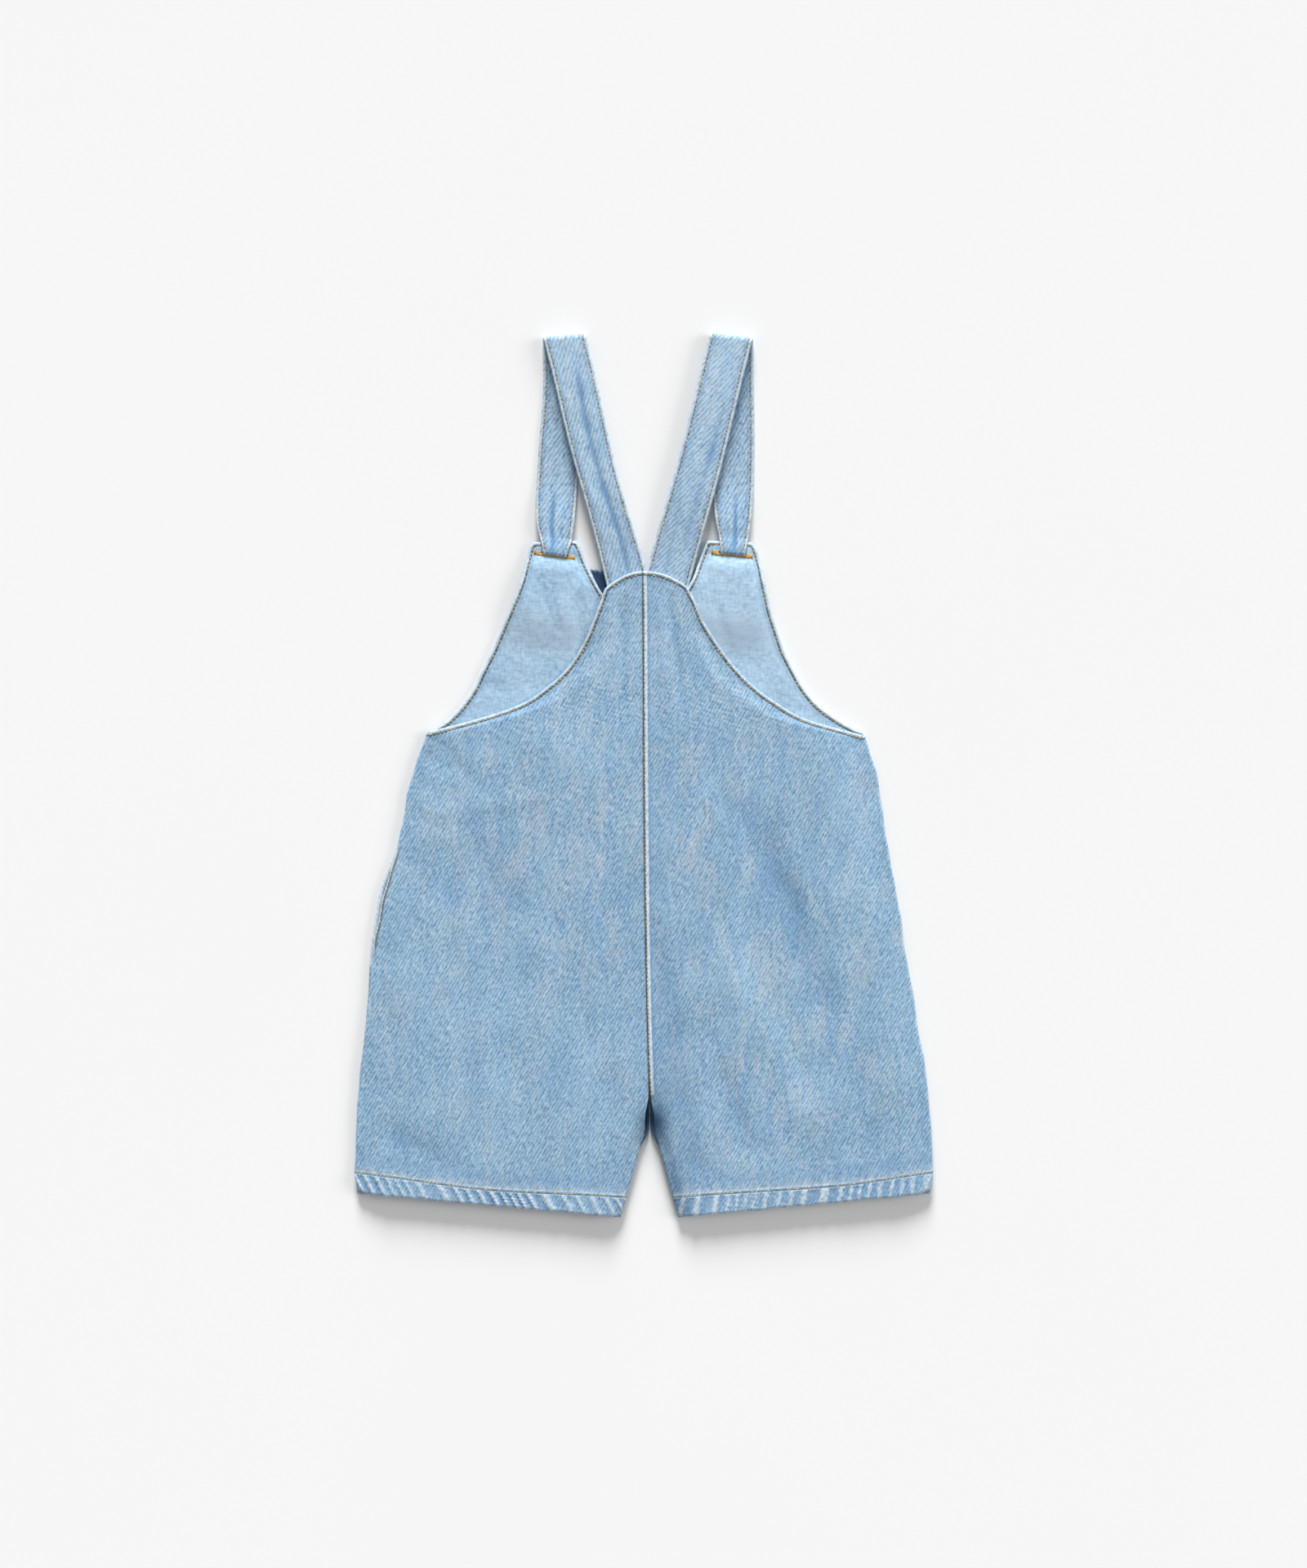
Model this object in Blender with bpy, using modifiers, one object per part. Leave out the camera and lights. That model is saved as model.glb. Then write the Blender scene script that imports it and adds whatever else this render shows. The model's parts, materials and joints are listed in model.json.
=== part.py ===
# Child's short denim dungarees, laid flat with the back uppermost.
# Lengths are in millimetres until a mesh is made, and metres in the mesh.
# +Y runs from the hems to the straps' folds, +X to the right, +Z up from the surface it lies on.
# Every cloth piece is an open surface worked out from sections, thickened by Solidify.

import math

import bpy
import numpy as np
from mathutils import Matrix, Vector

MM = 0.001

# Cloth and gaps
DENIM = 1.2                 # front and back panels
FACING = 1.0                # plain-weave cloth that faces the bib
POCKETING = 1.0
STRAP = 1.6                 # folded and stitched band
GAP = 0.3                   # between pieces at a seam
HEM_EXTRA = 0.7             # turned hem over the single cloth
LAP_EXTRA = 0.5             # felled centre-back seam over the single cloth
LAP_WIDTH = 2.8

# Heights above the surface
LOFT = 4.8                  # back panel's underside inside its edges
SEAM_RISE = 1.5             # front panel's underside at the side seam and inside leg
ARMHOLE_UNDER = 3.2         # back panel's underside at the armhole, over the facing
EDGE_ROLL = 9.0             # width over which the front curls up to its seam
BACK_ROLL = 20.0            # width over which the back comes down to its seam

# Straps, slits and buttons
FLOOR_GAP = 0.05            # keeps the bent band's outer skin off the surface
STRAP_TUCK = 14.0           # length hidden under the back's top edge
STRAP_YOKE_Z = 3.7          # middle of the band where it goes under the back
YOKE_EASE = 60.0            # length over which the band comes down to that height
STRAP_PARTING = 0.9         # where the two bands meet under the back, right of the seam
STRAP_CLEAR = 0.25          # from that line to each band
FOLD_RADIUS = 2.4           # middle of the band round the shoulder fold
FOLD_SQUARE = 8.0           # stations this near the fold line run parallel to it
FOLD_EASE = 28.0            # length over which they turn square to the band again
SLIT_SQUARE = 12.0          # stations from this far before the slit on run parallel to it
SLIT_EASE = 20.0            # length over which they turn parallel to it
BACK_RUN_END = 8.0          # last station of the back run, before the fold
FRONT_RUN_START = 10.0      # first station of the front run, past the fold
FOLD_MARGIN = 1.0           # stations round the fold begin and end this far from its arc
STATIONS = {"back": 15, "fold": 11, "front": 9, "climb": 6, "over": 6, "turn": 5, "tail": 9}
EDGE_SHARE = 0.42           # share of the width where the band's inner columns lie
SLIT_BEND = 1.4             # middle of the band where it turns through the slit
SLIT_LENGTH = 19.0
SLIT_HEIGHT = 2.8
TAIL_LENGTH = 32.0
TAIL_WIDTH = 14.5
CLIMB = 16.0                # length over which the band climbs onto the tab
TAB_HEIGHT = 10.5           # from the slit to just clear of the tab's top edge
BUMP_REACH = 11.0           # width over which the cloth comes down from tail and button
BUTTON_RADIUS = 6.5
BUTTON_HEIGHT = 2.0
BUTTON_HOLE = 0.9
BUTTON_HOLE_SPREAD = 1.6
BUTTON_BELOW_SLIT = 18.0

# Centre-back seam, which leans to the right towards the crotch
TOP_Y = 120.0
CROTCH_Y = -187.0
SEAM_LEAN = 4.0
YOKE_ARCH = 2.4             # the back's top edge stands this far above its chord

# Back above the underarm: height on the centre seam, then the armhole's point on each side
BACK_TOP_COLUMNS = ("seam_y", "left_x", "left_y", "right_x", "right_y")
BACK_TOP = (
    (120.5, -23.5, 110.0, 25.0, 111.5),
    (103.5, -26.0, 102.5, 30.0, 102.5),
    (90.5, -30.5, 90.5, 35.0, 90.5),
    (77.0, -36.5, 77.0, 43.5, 77.0),
    (65.0, -45.0, 64.0, 52.5, 65.0),
    (54.0, -56.0, 53.5, 63.0, 54.0),
    (44.5, -71.5, 43.0, 75.5, 44.5),
    (36.0, -95.5, 34.5, 94.0, 34.0),
    (28.0, -127.5, 26.0, 128.5, 24.0),
)

# Bib, from the tabs' top edges to the underarm: inner edge is the neck, then the centre
BIB_COLUMNS = ("inner_y", "outer_y", "left_inner", "left_outer", "right_inner", "right_outer")
BIB = (
    (138.5, 137.5, -40.0, -65.5, 37.0, 63.0),
    (134.5, 134.5, -37.5, -67.5, 35.0, 65.5),
    (125.5, 125.0, -34.0, -70.0, 31.5, 68.5),
    (117.0, 115.0, -30.0, -72.5, 28.5, 70.5),
    (108.0, 105.5, -25.0, -76.0, 23.5, 72.5),
    (98.5, 95.0, -18.0, -80.5, 17.5, 75.0),
    (90.5, 84.5, -9.0, -85.0, 9.0, 78.5),
    (87.5, 73.0, 0.0, -90.0, 0.0, 82.5),
    (77.0, 62.0, 0.0, -95.5, 0.0, 88.0),
    (65.0, 51.5, 0.0, -100.5, 0.0, 94.0),
    (52.0, 42.0, 0.0, -107.0, 0.0, 102.0),
    (40.0, 33.0, 0.0, -115.5, 0.0, 114.0),
    (28.0, 25.0, 0.0, -127.5, 0.0, 128.5),
)
NECK_ROW = 7                # the row of BIB where the neck edge reaches the centre

# Body and legs: distance from the centre seam, side edges, and how far the front shows past
# the back at the open side pocket and at the crotch
BODY_COLUMNS = ("inner_y", "inner_x", "outer_y", "left_outer", "right_outer", "pocket_show",
                "crotch_show")
BODY = (
    (28.0, 0.0, 25.0, 128.0, 129.0, 0.0, 0.0),
    (14.5, 0.0, 12.0, 132.5, 133.5, 0.3, 0.0),
    (-4.5, 0.0, -5.0, 138.0, 137.9, 0.4, 0.0),
    (-28.5, 0.0, -29.0, 142.4, 141.1, 0.3, 0.0),
    (-46.5, 0.0, -46.5, 146.3, 144.1, 1.6, 0.0),
    (-64.5, 0.0, -65.0, 152.0, 147.5, 3.2, 0.0),
    (-83.5, 0.0, -84.0, 156.2, 150.9, 2.8, 0.0),
    (-103.0, 0.0, -103.0, 159.4, 153.2, 2.3, 0.0),
    (-124.5, 0.0, -124.5, 161.2, 157.6, 1.5, 0.0),
    (-148.5, 0.0, -148.0, 164.0, 160.7, 0.7, 0.0),
    (-168.0, 0.0, -167.0, 166.4, 164.6, 0.0, 0.0),
    (-187.0, 0.0, -183.0, 168.0, 166.3, 0.0, 0.4),
    (-199.5, 0.0, -195.5, 169.0, 167.4, 0.0, 2.4),
    (-209.5, 0.7, -205.0, 169.4, 168.4, 0.0, 2.2),
    (-218.0, 5.0, -213.5, 169.7, 168.8, 0.0, 0.3),
    (-232.0, 9.0, -224.0, 170.0, 169.0, 0.0, 0.0),
    (-247.5, 13.5, -233.0, 170.3, 169.7, 0.0, 0.0),
    (-259.5, 17.0, -245.5, 169.3, 168.3, 0.0, 0.0),
)
HEM_ROW = 16                # the row of BODY that the hem's stitching follows
CROTCH_ROW = 11             # the row of BODY where the legs part
SEAM_ROWS = 2.0             # rows of BODY over which the side seam closes below the underarm
TOP_ROWS = len(BACK_TOP) - 1
HEM_STEP = 0.06             # share of a row over which the turned hem steps up
FRONT_INSET = 0.5           # of the front's side edges inside the back's

# Grid columns: distances from the inner and the outer edge, then how many lie between
FULL_ROW = 70.0             # rows shorter than this have their columns closer
FRONT_GRID = ((0.0, 9.0), (0.0, 4.0, 9.0), 5)
BACK_GRID = ((0.0, 9.0), (0.0, 6.0, 13.0, 20.0), 2)
LAP_GRID = ((0.0, LAP_WIDTH, LAP_WIDTH + 0.5, 9.0), (0.0, 6.0, 13.0, 20.0), 2)
POCKET_GRID = ((0.0, 3.0), (0.0, 3.0), 3)

# Pocket bag inside the left front, with its top and bottom on the side opening, and how it
# rises with the front's curled edge
POCKET_RISE = 0.35
POCKET_RISE_X = 134.0
POCKET_RISE_WIDTH = 8.0
POCKET_COLUMNS = ("y", "inner_x", "outer_x")
POCKET = (
    (-38.0, -128.0, -132.0),
    (-52.0, -105.0, -136.0),
    (-75.0, -92.0, -140.0),
    (-105.0, -88.0, -144.0),
    (-135.0, -92.0, -146.0),
    (-152.0, -106.0, -140.0),
)

# Each strap: middle of its shoulder fold, middle of the back's edge over it, turn of the fold
# line, its slit and the slit's turn, and how far its back run bows sideways
STRAPS = {
    "left": {"fold": (-46.3, 256.2), "yoke": (-10.4, 116.0), "turn": 4.5, "slit_y": 130.0,
             "slit_turn": -7.3, "bow": -1.5},
    "right": {"fold": (50.4, 256.2), "yoke": (13.7, 116.5), "turn": -6.6, "slit_y": 130.5,
              "slit_turn": -6.0, "bow": 1.1},
}

# Width of each strap by the distance along it past its slit: it narrows as it is gathered in
WIDTH_COLUMNS = ("past_slit", "left", "right")
WIDTHS = (
    (-290.0, 24.8, 26.5),
    (-275.0, 24.8, 26.5),
    (-231.0, 22.8, 26.0),
    (-180.0, 24.3, 25.3),
    (-131.0, 24.6, 25.1),
    (-75.0, 24.4, 24.8),
    (-40.0, 24.2, 24.0),
    (-29.0, 23.8, 22.8),
    (-19.0, 22.6, 20.7),
    (-9.5, 19.2, 17.2),
    (-1.5, 14.5, 14.8),
    (6.0, 14.5, 14.5),
    (40.0, 14.5, 14.5),
)

# How far each front run lies to the right of the straight one, by the distance past the fold
DRIFT_COLUMNS = ("past_fold", "left", "right")
DRIFTS = (
    (-20.0, 0.0, 0.0),
    (4.0, 0.0, 0.0),
    (37.0, 2.9, -0.4),
    (70.0, 3.4, -0.8),
    (100.0, 4.3, -1.8),
    (118.0, 5.2, -2.3),
    (131.0, 6.7, -2.7),
    (170.0, 5.4, -7.5),
)

COLOURS = {
    "denim": (0.27, 0.44, 0.60, 1.0),
    "facing": (0.38, 0.55, 0.69, 1.0),
    "pocketing": (0.60, 0.62, 0.60, 1.0),
    "button": (0.30, 0.21, 0.13, 1.0),
}


def clear_scene():
    for thing in list(bpy.data.objects):
        bpy.data.objects.remove(thing, do_unlink=True)


def make_material(name, roughness=0.9):
    material = bpy.data.materials.new(name)
    material.use_nodes = True
    shader = material.node_tree.nodes["Principled BSDF"]
    shader.inputs["Base Color"].default_value = COLOURS[name]
    shader.inputs["Roughness"].default_value = roughness
    shader.inputs["Metallic"].default_value = 0.0
    return material


def smooth(t):
    t = np.clip(t, 0.0, 1.0)
    return t * t * (3.0 - 2.0 * t)


def rise(distance, reach):
    """1 at distance 0, easing to 0 at reach."""
    return 1.0 - smooth(distance / reach)


def through(table, steps):
    """Smooth curve through a table's rows (Catmull-Rom), steps to each row."""
    rows = np.array(table, dtype=float)
    before = np.vstack([2 * rows[0] - rows[1], rows, 2 * rows[-1] - rows[-2]])
    t = np.linspace(0.0, len(rows) - 1.0, steps * (len(rows) - 1) + 1)
    k = np.minimum(t.astype(int), len(rows) - 2)
    f = (t - k)[:, None]
    a, b, c, d = before[k], before[k + 1], before[k + 2], before[k + 3]
    curve = 0.5 * (2 * b + (c - a) * f + (2 * a - 5 * b + 4 * c - d) * f ** 2
                   + (3 * b - a - 3 * c + d) * f ** 3)
    return t, curve


def centre_x(y):
    """Where the centre-back and centre-front seams lie at height y."""
    t = np.clip((TOP_Y - y) / (TOP_Y - CROTCH_Y), 0.0, 1.0)
    return SEAM_LEAN * (0.35 * t + 0.65 * t ** 4)


def columns(length, inner, outer, middle):
    """Distances across a row: fixed ones near each edge, even ones between them."""
    squeeze = min(1.0, length / FULL_ROW)
    near = np.array(inner) * squeeze
    far = length - np.array(outer)[::-1] * squeeze
    between = np.linspace(near[-1], far[0], middle + 2)[1:-1]
    return np.concatenate([near, between, far])


def spread(inner_points, outer_points, inner, outer, middle):
    """Grid of plan points between an inner and an outer edge, with the distance to each edge."""
    plan, from_inner, from_outer = [], [], []
    for a, b in zip(inner_points, outer_points):
        length = np.hypot(*(b - a))
        reach = columns(length, inner, outer, middle)
        plan.append(a + (b - a) * (reach / length)[:, None])
        from_inner.append(reach)
        from_outer.append(length - reach)
    return np.array(plan), np.array(from_inner), np.array(from_outer)


# Straps in plan: a straight band that goes over the fold line and back

def read_along(table, columns, side, where):
    """A table's column for one side, on a smooth curve through its rows."""
    _, rows = through(table, 6)
    return np.interp(where, rows[:, 0], rows[:, columns.index(side)])


def strap_frame(side):
    row = STRAPS[side]
    fold = np.array(row["fold"])
    along = fold - np.array(row["yoke"])
    back_length = np.hypot(*along)
    along = along / back_length
    across = np.array((-along[1], along[0]))
    turn = math.radians(row["turn"])
    normal = np.array((-math.sin(turn), math.cos(turn)))
    return fold, along, across, normal, back_length


def strap_plan(side, a, w):
    """Plan point and drop of the band's point a along and w across, after the shoulder fold."""
    fold, along, across, normal, back_length = strap_frame(side)
    near_fold = rise(np.abs(a) - FOLD_SQUARE, FOLD_EASE)
    near_slit = smooth((a - slit_along(side) + SLIT_SQUARE + SLIT_EASE) / SLIT_EASE)
    shear = -w * (across @ normal) / (along @ normal) * near_fold + w * slit_shear(side) * near_slit
    flat = fold + np.outer(a + shear, along) + np.outer(w, across)
    past = (flat - fold) @ normal
    turned = np.clip(past / FOLD_RADIUS, 0.0, math.pi)
    beyond = np.maximum(past - math.pi * FOLD_RADIUS, 0.0)
    kept = np.minimum(past, 0.0) + FOLD_RADIUS * np.sin(turned) - beyond
    plan = flat + np.outer(kept - past, normal)
    plan[:, 0] += read_along(DRIFTS, DRIFT_COLUMNS, side, a)
    plan[:, 0] += STRAPS[side]["bow"] * np.sin(math.pi * np.clip(-a / back_length, 0.0, 1.0)) ** 2
    return plan, FOLD_RADIUS * (1.0 - np.cos(turned))


def slit_along(side):
    """Distance along the band's middle from the fold to the slit."""
    fold, along, _, normal, _ = strap_frame(side)
    down = along - 2 * (along @ normal) * normal
    return (fold[1] - STRAPS[side]["slit_y"]) / abs(down[1]) + math.pi * FOLD_RADIUS


def slit_direction(side):
    turn = math.radians(STRAPS[side]["slit_turn"])
    return np.array((math.cos(turn), math.sin(turn)))


def slit_shear(side):
    """How far along the band a station moves for each unit across, to lie parallel to the slit."""
    _, along, across, normal, _ = strap_frame(side)
    down = along - 2 * (along @ normal) * normal
    over = across - 2 * (across @ normal) * normal
    slit = slit_direction(side)
    return (slit @ down) / (slit @ over)


def slit_point(side, below=0.0):
    here, _ = strap_plan(side, np.array([slit_along(side) + below]), np.zeros(1))
    return here[0]


def tail_direction(side):
    slit = slit_direction(side)
    return np.array((slit[1], -slit[0]))


# Heights of the layers

def outside_tail(side, plan, start, end):
    """Distance in plan outside the tail's stretch from start to end below the slit."""
    offset = plan - slit_point(side)
    way = tail_direction(side)
    along = offset @ way
    across = np.abs(offset @ np.array((-way[1], way[0]))) - TAIL_WIDTH / 2 - 1.5
    past = np.maximum(start - along, along - end)
    return np.hypot(np.maximum(across, 0.0), np.maximum(past, 0.0))


def button_bump(side, plan):
    """Lift of the tail, and of the front over it, above the button."""
    reach = BUTTON_RADIUS + 1.5
    outside = outside_tail(side, plan, BUTTON_BELOW_SLIT - reach, BUTTON_BELOW_SLIT + reach)
    return (BUTTON_HEIGHT + GAP) * rise(outside, BUMP_REACH)


def front_bump(side, plan):
    """Lift of the front where the strap's tail lies under it."""
    outside = outside_tail(side, plan, -SLIT_HEIGHT / 2 - 1.0, TAIL_LENGTH + 1.5)
    return (STRAP + 2 * GAP) * rise(outside, BUMP_REACH) + button_bump(side, plan)


# Meshes

def sheet_object(name, points, thickness, offset, material, collection, weights=None):
    """Open grid of points (rows, columns, 3) in millimetres, thickened by Solidify."""
    rows, across = points.shape[:2]
    index = np.arange(rows * across).reshape(rows, across)
    faces = np.stack([index[:-1, :-1], index[1:, :-1], index[1:, 1:], index[:-1, 1:]], axis=-1)
    mesh = bpy.data.meshes.new(name)
    mesh.from_pydata((points.reshape(-1, 3) * MM).tolist(), [], faces.reshape(-1, 4).tolist())
    thing = bpy.data.objects.new(name, mesh)
    collection.objects.link(thing)
    mesh.materials.append(material)
    if mesh.polygons[len(mesh.polygons) // 4].normal.z < 0 and offset > 0:
        mesh.flip_normals()
    mesh.shade_smooth()
    solidify = thing.modifiers.new("cloth thickness", "SOLIDIFY")
    solidify.thickness = thickness * MM
    solidify.offset = offset
    solidify.use_even_offset = True
    if weights is not None:
        group = thing.vertex_groups.new(name="thickness")
        for number, weight in enumerate(weights.reshape(-1)):
            group.add([number], float(weight), "REPLACE")
        solidify.vertex_group = group.name
    return thing


def with_height(plan, height):
    return np.concatenate([plan, height[..., None]], axis=-1)


def cut(thing, cutter):
    boolean = thing.modifiers.new("cut " + cutter.name, "BOOLEAN")
    boolean.operation = "DIFFERENCE"
    boolean.solver = "EXACT"
    boolean.object = cutter


def hide_cutter(thing, collection):
    for holder in list(thing.users_collection):
        holder.objects.unlink(thing)
    collection.objects.link(thing)
    thing.hide_render = True
    thing.display_type = "WIRE"


def bib_edges(side, steps):
    """Inner and outer edge of one half of the bib, from the tab to the underarm."""
    t, rows = through(BIB, steps)
    column = {name: rows[:, n] for n, name in enumerate(BIB_COLUMNS)}
    sign = -1.0 if side == "left" else 1.0
    inner_x = np.where(t >= NECK_ROW, 0.0, column[side + "_inner"])
    inner_x = inner_x + centre_x(column["inner_y"]) * smooth(t - (NECK_ROW - 1)) + sign * GAP / 2
    inner = np.stack([inner_x, column["inner_y"]], axis=1)
    outer = np.stack([column[side + "_outer"], column["outer_y"]], axis=1)
    return t, inner, outer


def body_edges(side, steps, layer):
    """Inner and outer edge of one leg and half body, from the underarm to the hem."""
    t, rows = through(BODY, steps)
    column = {name: rows[:, n] for n, name in enumerate(BODY_COLUMNS)}
    sign = -1.0 if side == "left" else 1.0
    inner_away = np.maximum(column["inner_x"], 0.0) * (t > CROTCH_ROW)
    outer_away = column[side + "_outer"]
    if layer == "back":
        inner_away = inner_away + np.maximum(column["crotch_show"], 0.0) * (t > CROTCH_ROW - 1)
    else:
        outer_away = outer_away - FRONT_INSET
        if side == "left":
            outer_away = outer_away + np.maximum(column["pocket_show"], 0.0)
    inner = np.stack([centre_x(column["inner_y"]) + sign * (inner_away + GAP / 2),
                      column["inner_y"]], axis=1)
    outer = np.stack([sign * outer_away, column["outer_y"]], axis=1)
    return t, inner, outer


def seam_masks(t):
    """How closed the side seam and the inside-leg seam are on each row of the body."""
    return smooth(t / SEAM_ROWS), smooth((t - CROTCH_ROW - 1.0) / 2.0)


def moved_out(points, distance):
    """A grid's points raised so far that they lie a distance outside its own surface."""
    normal = np.cross(np.gradient(points, axis=0), np.gradient(points, axis=1))
    steepness = np.linalg.norm(normal, axis=-1) / np.abs(normal[..., 2])
    raised = points.copy()
    raised[..., 2] += distance * steepness
    return raised


def make_front(side, collection, material, cutter):
    bib_t, bib_in, bib_out = bib_edges(side, 3)
    body_t, body_in, body_out = body_edges(side, 2, "front")
    inner = np.vstack([bib_in, body_in[1:]])
    outer = np.vstack([bib_out, body_out[1:]])
    plan, from_inner, from_outer = spread(inner, outer, *FRONT_GRID)
    side_mask, leg_mask = seam_masks(body_t[1:])
    side_mask = np.concatenate([np.zeros(len(bib_t)), side_mask])[:, None]
    leg_mask = np.concatenate([np.zeros(len(bib_t)), leg_mask])[:, None]
    edge = np.maximum(side_mask * rise(from_outer, EDGE_ROLL), leg_mask * rise(from_inner, EDGE_ROLL))
    under = front_bump(side, plan) + SEAM_RISE * edge
    points = with_height(plan, under)
    thing = sheet_object("front_" + side, points, DENIM, 1.0, material, collection)
    cut(thing, cutter)
    return points[:len(bib_t)]


def make_facing(side, bib_points, collection, material, cutter):
    points = moved_out(bib_points, DENIM + GAP)
    thing = sheet_object("bib_facing_" + side, points, FACING, 1.0, material, collection)
    cut(thing, cutter)


def add_hem_row(rows):
    """The body's rows at two steps a row, with one more just below the hem's stitching."""
    stitch = 2 * HEM_ROW
    below = rows[stitch] + HEM_STEP * 2 * (rows[stitch + 1] - rows[stitch])
    return np.insert(rows, stitch + 1, below, axis=0)


def make_back(side, collection, material):
    top_t, rows = through(BACK_TOP, 2)
    column = {name: rows[:, n] for n, name in enumerate(BACK_TOP_COLUMNS)}
    sign = -1.0 if side == "left" else 1.0
    top_in = np.stack([centre_x(column["seam_y"]) + sign * GAP / 2, column["seam_y"]], axis=1)
    top_out = np.stack([column[side + "_x"], column[side + "_y"]], axis=1)
    body_t, body_in, body_out = body_edges(side, 2, "back")
    inner = np.vstack([top_in, add_hem_row(body_in)[1:]])
    outer = np.vstack([top_out, add_hem_row(body_out)[1:]])
    plan, from_inner, from_outer = spread(inner, outer, *(LAP_GRID if side == "right" else BACK_GRID))
    t = np.concatenate([top_t, TOP_ROWS + add_hem_row(body_t)[1:]])

    across = from_inner / (from_inner + from_outer)
    arch = YOKE_ARCH * 4 * across * (1 - across) * rise(t, 2.0)[:, None]
    plan[..., 1] += arch

    edge_under = LOFT - (LOFT - ARMHOLE_UNDER) * smooth((t - 1.5) / 2.5)
    seam_under = SEAM_RISE + DENIM + GAP
    side_mask, leg_mask = seam_masks(t - TOP_ROWS)
    edge_under = edge_under - (ARMHOLE_UNDER - seam_under) * side_mask
    under = LOFT - (LOFT - edge_under)[:, None] * rise(from_outer, BACK_ROLL)
    leg_drop = (LOFT - seam_under) * leg_mask[:, None] * rise(from_inner, EDGE_ROLL)
    under = np.maximum(under - leg_drop, seam_under)

    in_hem = t[:, None] > TOP_ROWS + HEM_ROW + HEM_STEP / 2
    extra = np.where(in_hem, HEM_EXTRA, 0.0) * np.ones_like(under)
    if side == "right":
        in_lap = (from_inner < LAP_GRID[0][2]) & (t[:, None] < TOP_ROWS + CROTCH_ROW)
        extra = np.where(in_lap, LAP_EXTRA, extra)
    thickest = DENIM + HEM_EXTRA
    weights = (DENIM + extra) / thickest
    return sheet_object("back_" + side, with_height(plan, under), thickest, 1.0, material,
                        collection, weights)


def make_pocket(collection, material):
    _, rows = through(POCKET, 3)
    column = {name: rows[:, n] for n, name in enumerate(POCKET_COLUMNS)}
    inner = np.stack([column["inner_x"], column["y"]], axis=1)
    outer = np.stack([column["outer_x"], column["y"]], axis=1)
    plan, _, _ = spread(inner, outer, *POCKET_GRID)
    under = DENIM + GAP + POCKET_RISE * smooth((-plan[..., 0] - POCKET_RISE_X) / POCKET_RISE_WIDTH)
    return sheet_object("pocket_bag_left", with_height(plan, under), POCKETING, 1.0, material, collection)


def strap_rows(side):
    """Stations along the band: distance, height of its middle, and width."""
    _, _, _, _, back_length = strap_frame(side)
    slit = slit_along(side)
    start = -(back_length + STRAP_TUCK)
    low = STRAP / 2 + FLOOR_GAP
    high = low + 2 * FOLD_RADIUS

    back = np.linspace(start, -BACK_RUN_END, STATIONS["back"])
    back_z = high + (STRAP_YOKE_Z - high) * rise(back - start - STRAP_TUCK, YOKE_EASE)
    fold = np.linspace(-FOLD_MARGIN, math.pi * FOLD_RADIUS + FOLD_MARGIN, STATIONS["fold"])
    drop = FOLD_RADIUS * (1 - np.cos(np.clip(fold / FOLD_RADIUS, 0, math.pi)))
    run = np.linspace(FRONT_RUN_START, slit - TAB_HEIGHT - CLIMB, STATIONS["front"])
    climb = np.linspace(slit - TAB_HEIGHT - CLIMB, slit - TAB_HEIGHT, STATIONS["climb"])[1:]
    over = np.linspace(slit - TAB_HEIGHT, slit - SLIT_BEND, STATIONS["over"])[1:]

    def over_tab(distance):
        before = np.maximum(slit - distance - SLIT_HEIGHT / 2 - 1.0, 0.0)
        return low + (STRAP + 2 * GAP) * rise(before, BUMP_REACH) + DENIM + GAP + FACING + GAP

    tab_z = over_tab(climb[-1])
    climb_z = low + (tab_z - low) * smooth((climb - run[-1]) / CLIMB)
    over_z = over_tab(over)
    top, turn = over_z[-1], np.linspace(0.0, math.pi / 2, STATIONS["turn"])[1:]
    down_a = slit - SLIT_BEND + SLIT_BEND * np.sin(turn)
    down_z = top - SLIT_BEND * (1 - np.cos(turn))
    level_a = slit + SLIT_BEND * (1 - np.cos(turn))
    level_z = low + SLIT_BEND * (1 - np.sin(turn))
    level_a = np.concatenate([[slit], level_a])
    level_z = np.concatenate([[low + SLIT_BEND], level_z])
    tail = np.linspace(slit + SLIT_BEND, slit + TAIL_LENGTH, STATIONS["tail"])[1:]
    tail_plan, _ = strap_plan(side, tail, np.zeros(len(tail)))
    tail_z = low + button_bump(side, tail_plan)

    a = np.concatenate([back, fold, run, climb, over, down_a, level_a, tail])
    z = np.concatenate([back_z, high - drop, np.full(len(run), low), climb_z, over_z,
                        down_z, level_z, tail_z])
    return a, z, read_along(WIDTHS, WIDTH_COLUMNS, side, a - slit)


def make_strap(side, collection, material):
    a, z, width = strap_rows(side)
    share = np.array((-0.5, -EDGE_SHARE, 0.0, EDGE_SHARE, 0.5))
    grid_a = np.repeat(a[:, None], len(share), axis=1)
    grid_w = width[:, None] * share
    plan, _ = strap_plan(side, grid_a.reshape(-1), grid_w.reshape(-1))
    plan = plan.reshape(len(a), len(share), 2)
    if side == "left":
        plan[..., 0] = np.minimum(plan[..., 0], STRAP_PARTING - STRAP_CLEAR)
    else:
        plan[..., 0] = np.maximum(plan[..., 0], STRAP_PARTING + STRAP_CLEAR)
    height = np.repeat(z[:, None], len(share), axis=1)
    return sheet_object("strap_" + side, with_height(plan, height), STRAP, 0.0, material, collection)


def make_slit(side, cutters):
    point = slit_point(side)
    bpy.ops.mesh.primitive_cube_add(size=1.0)
    thing = bpy.context.object
    thing.name = "slit_" + side
    size = Matrix.Diagonal((SLIT_LENGTH * MM, SLIT_HEIGHT * MM, 30.0 * MM, 1.0))
    thing.data.transform(size)
    thing.rotation_euler.z = math.radians(STRAPS[side]["slit_turn"])
    thing.location = Vector((point[0], point[1], 0.0)) * MM
    hide_cutter(thing, cutters)
    return thing


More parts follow.
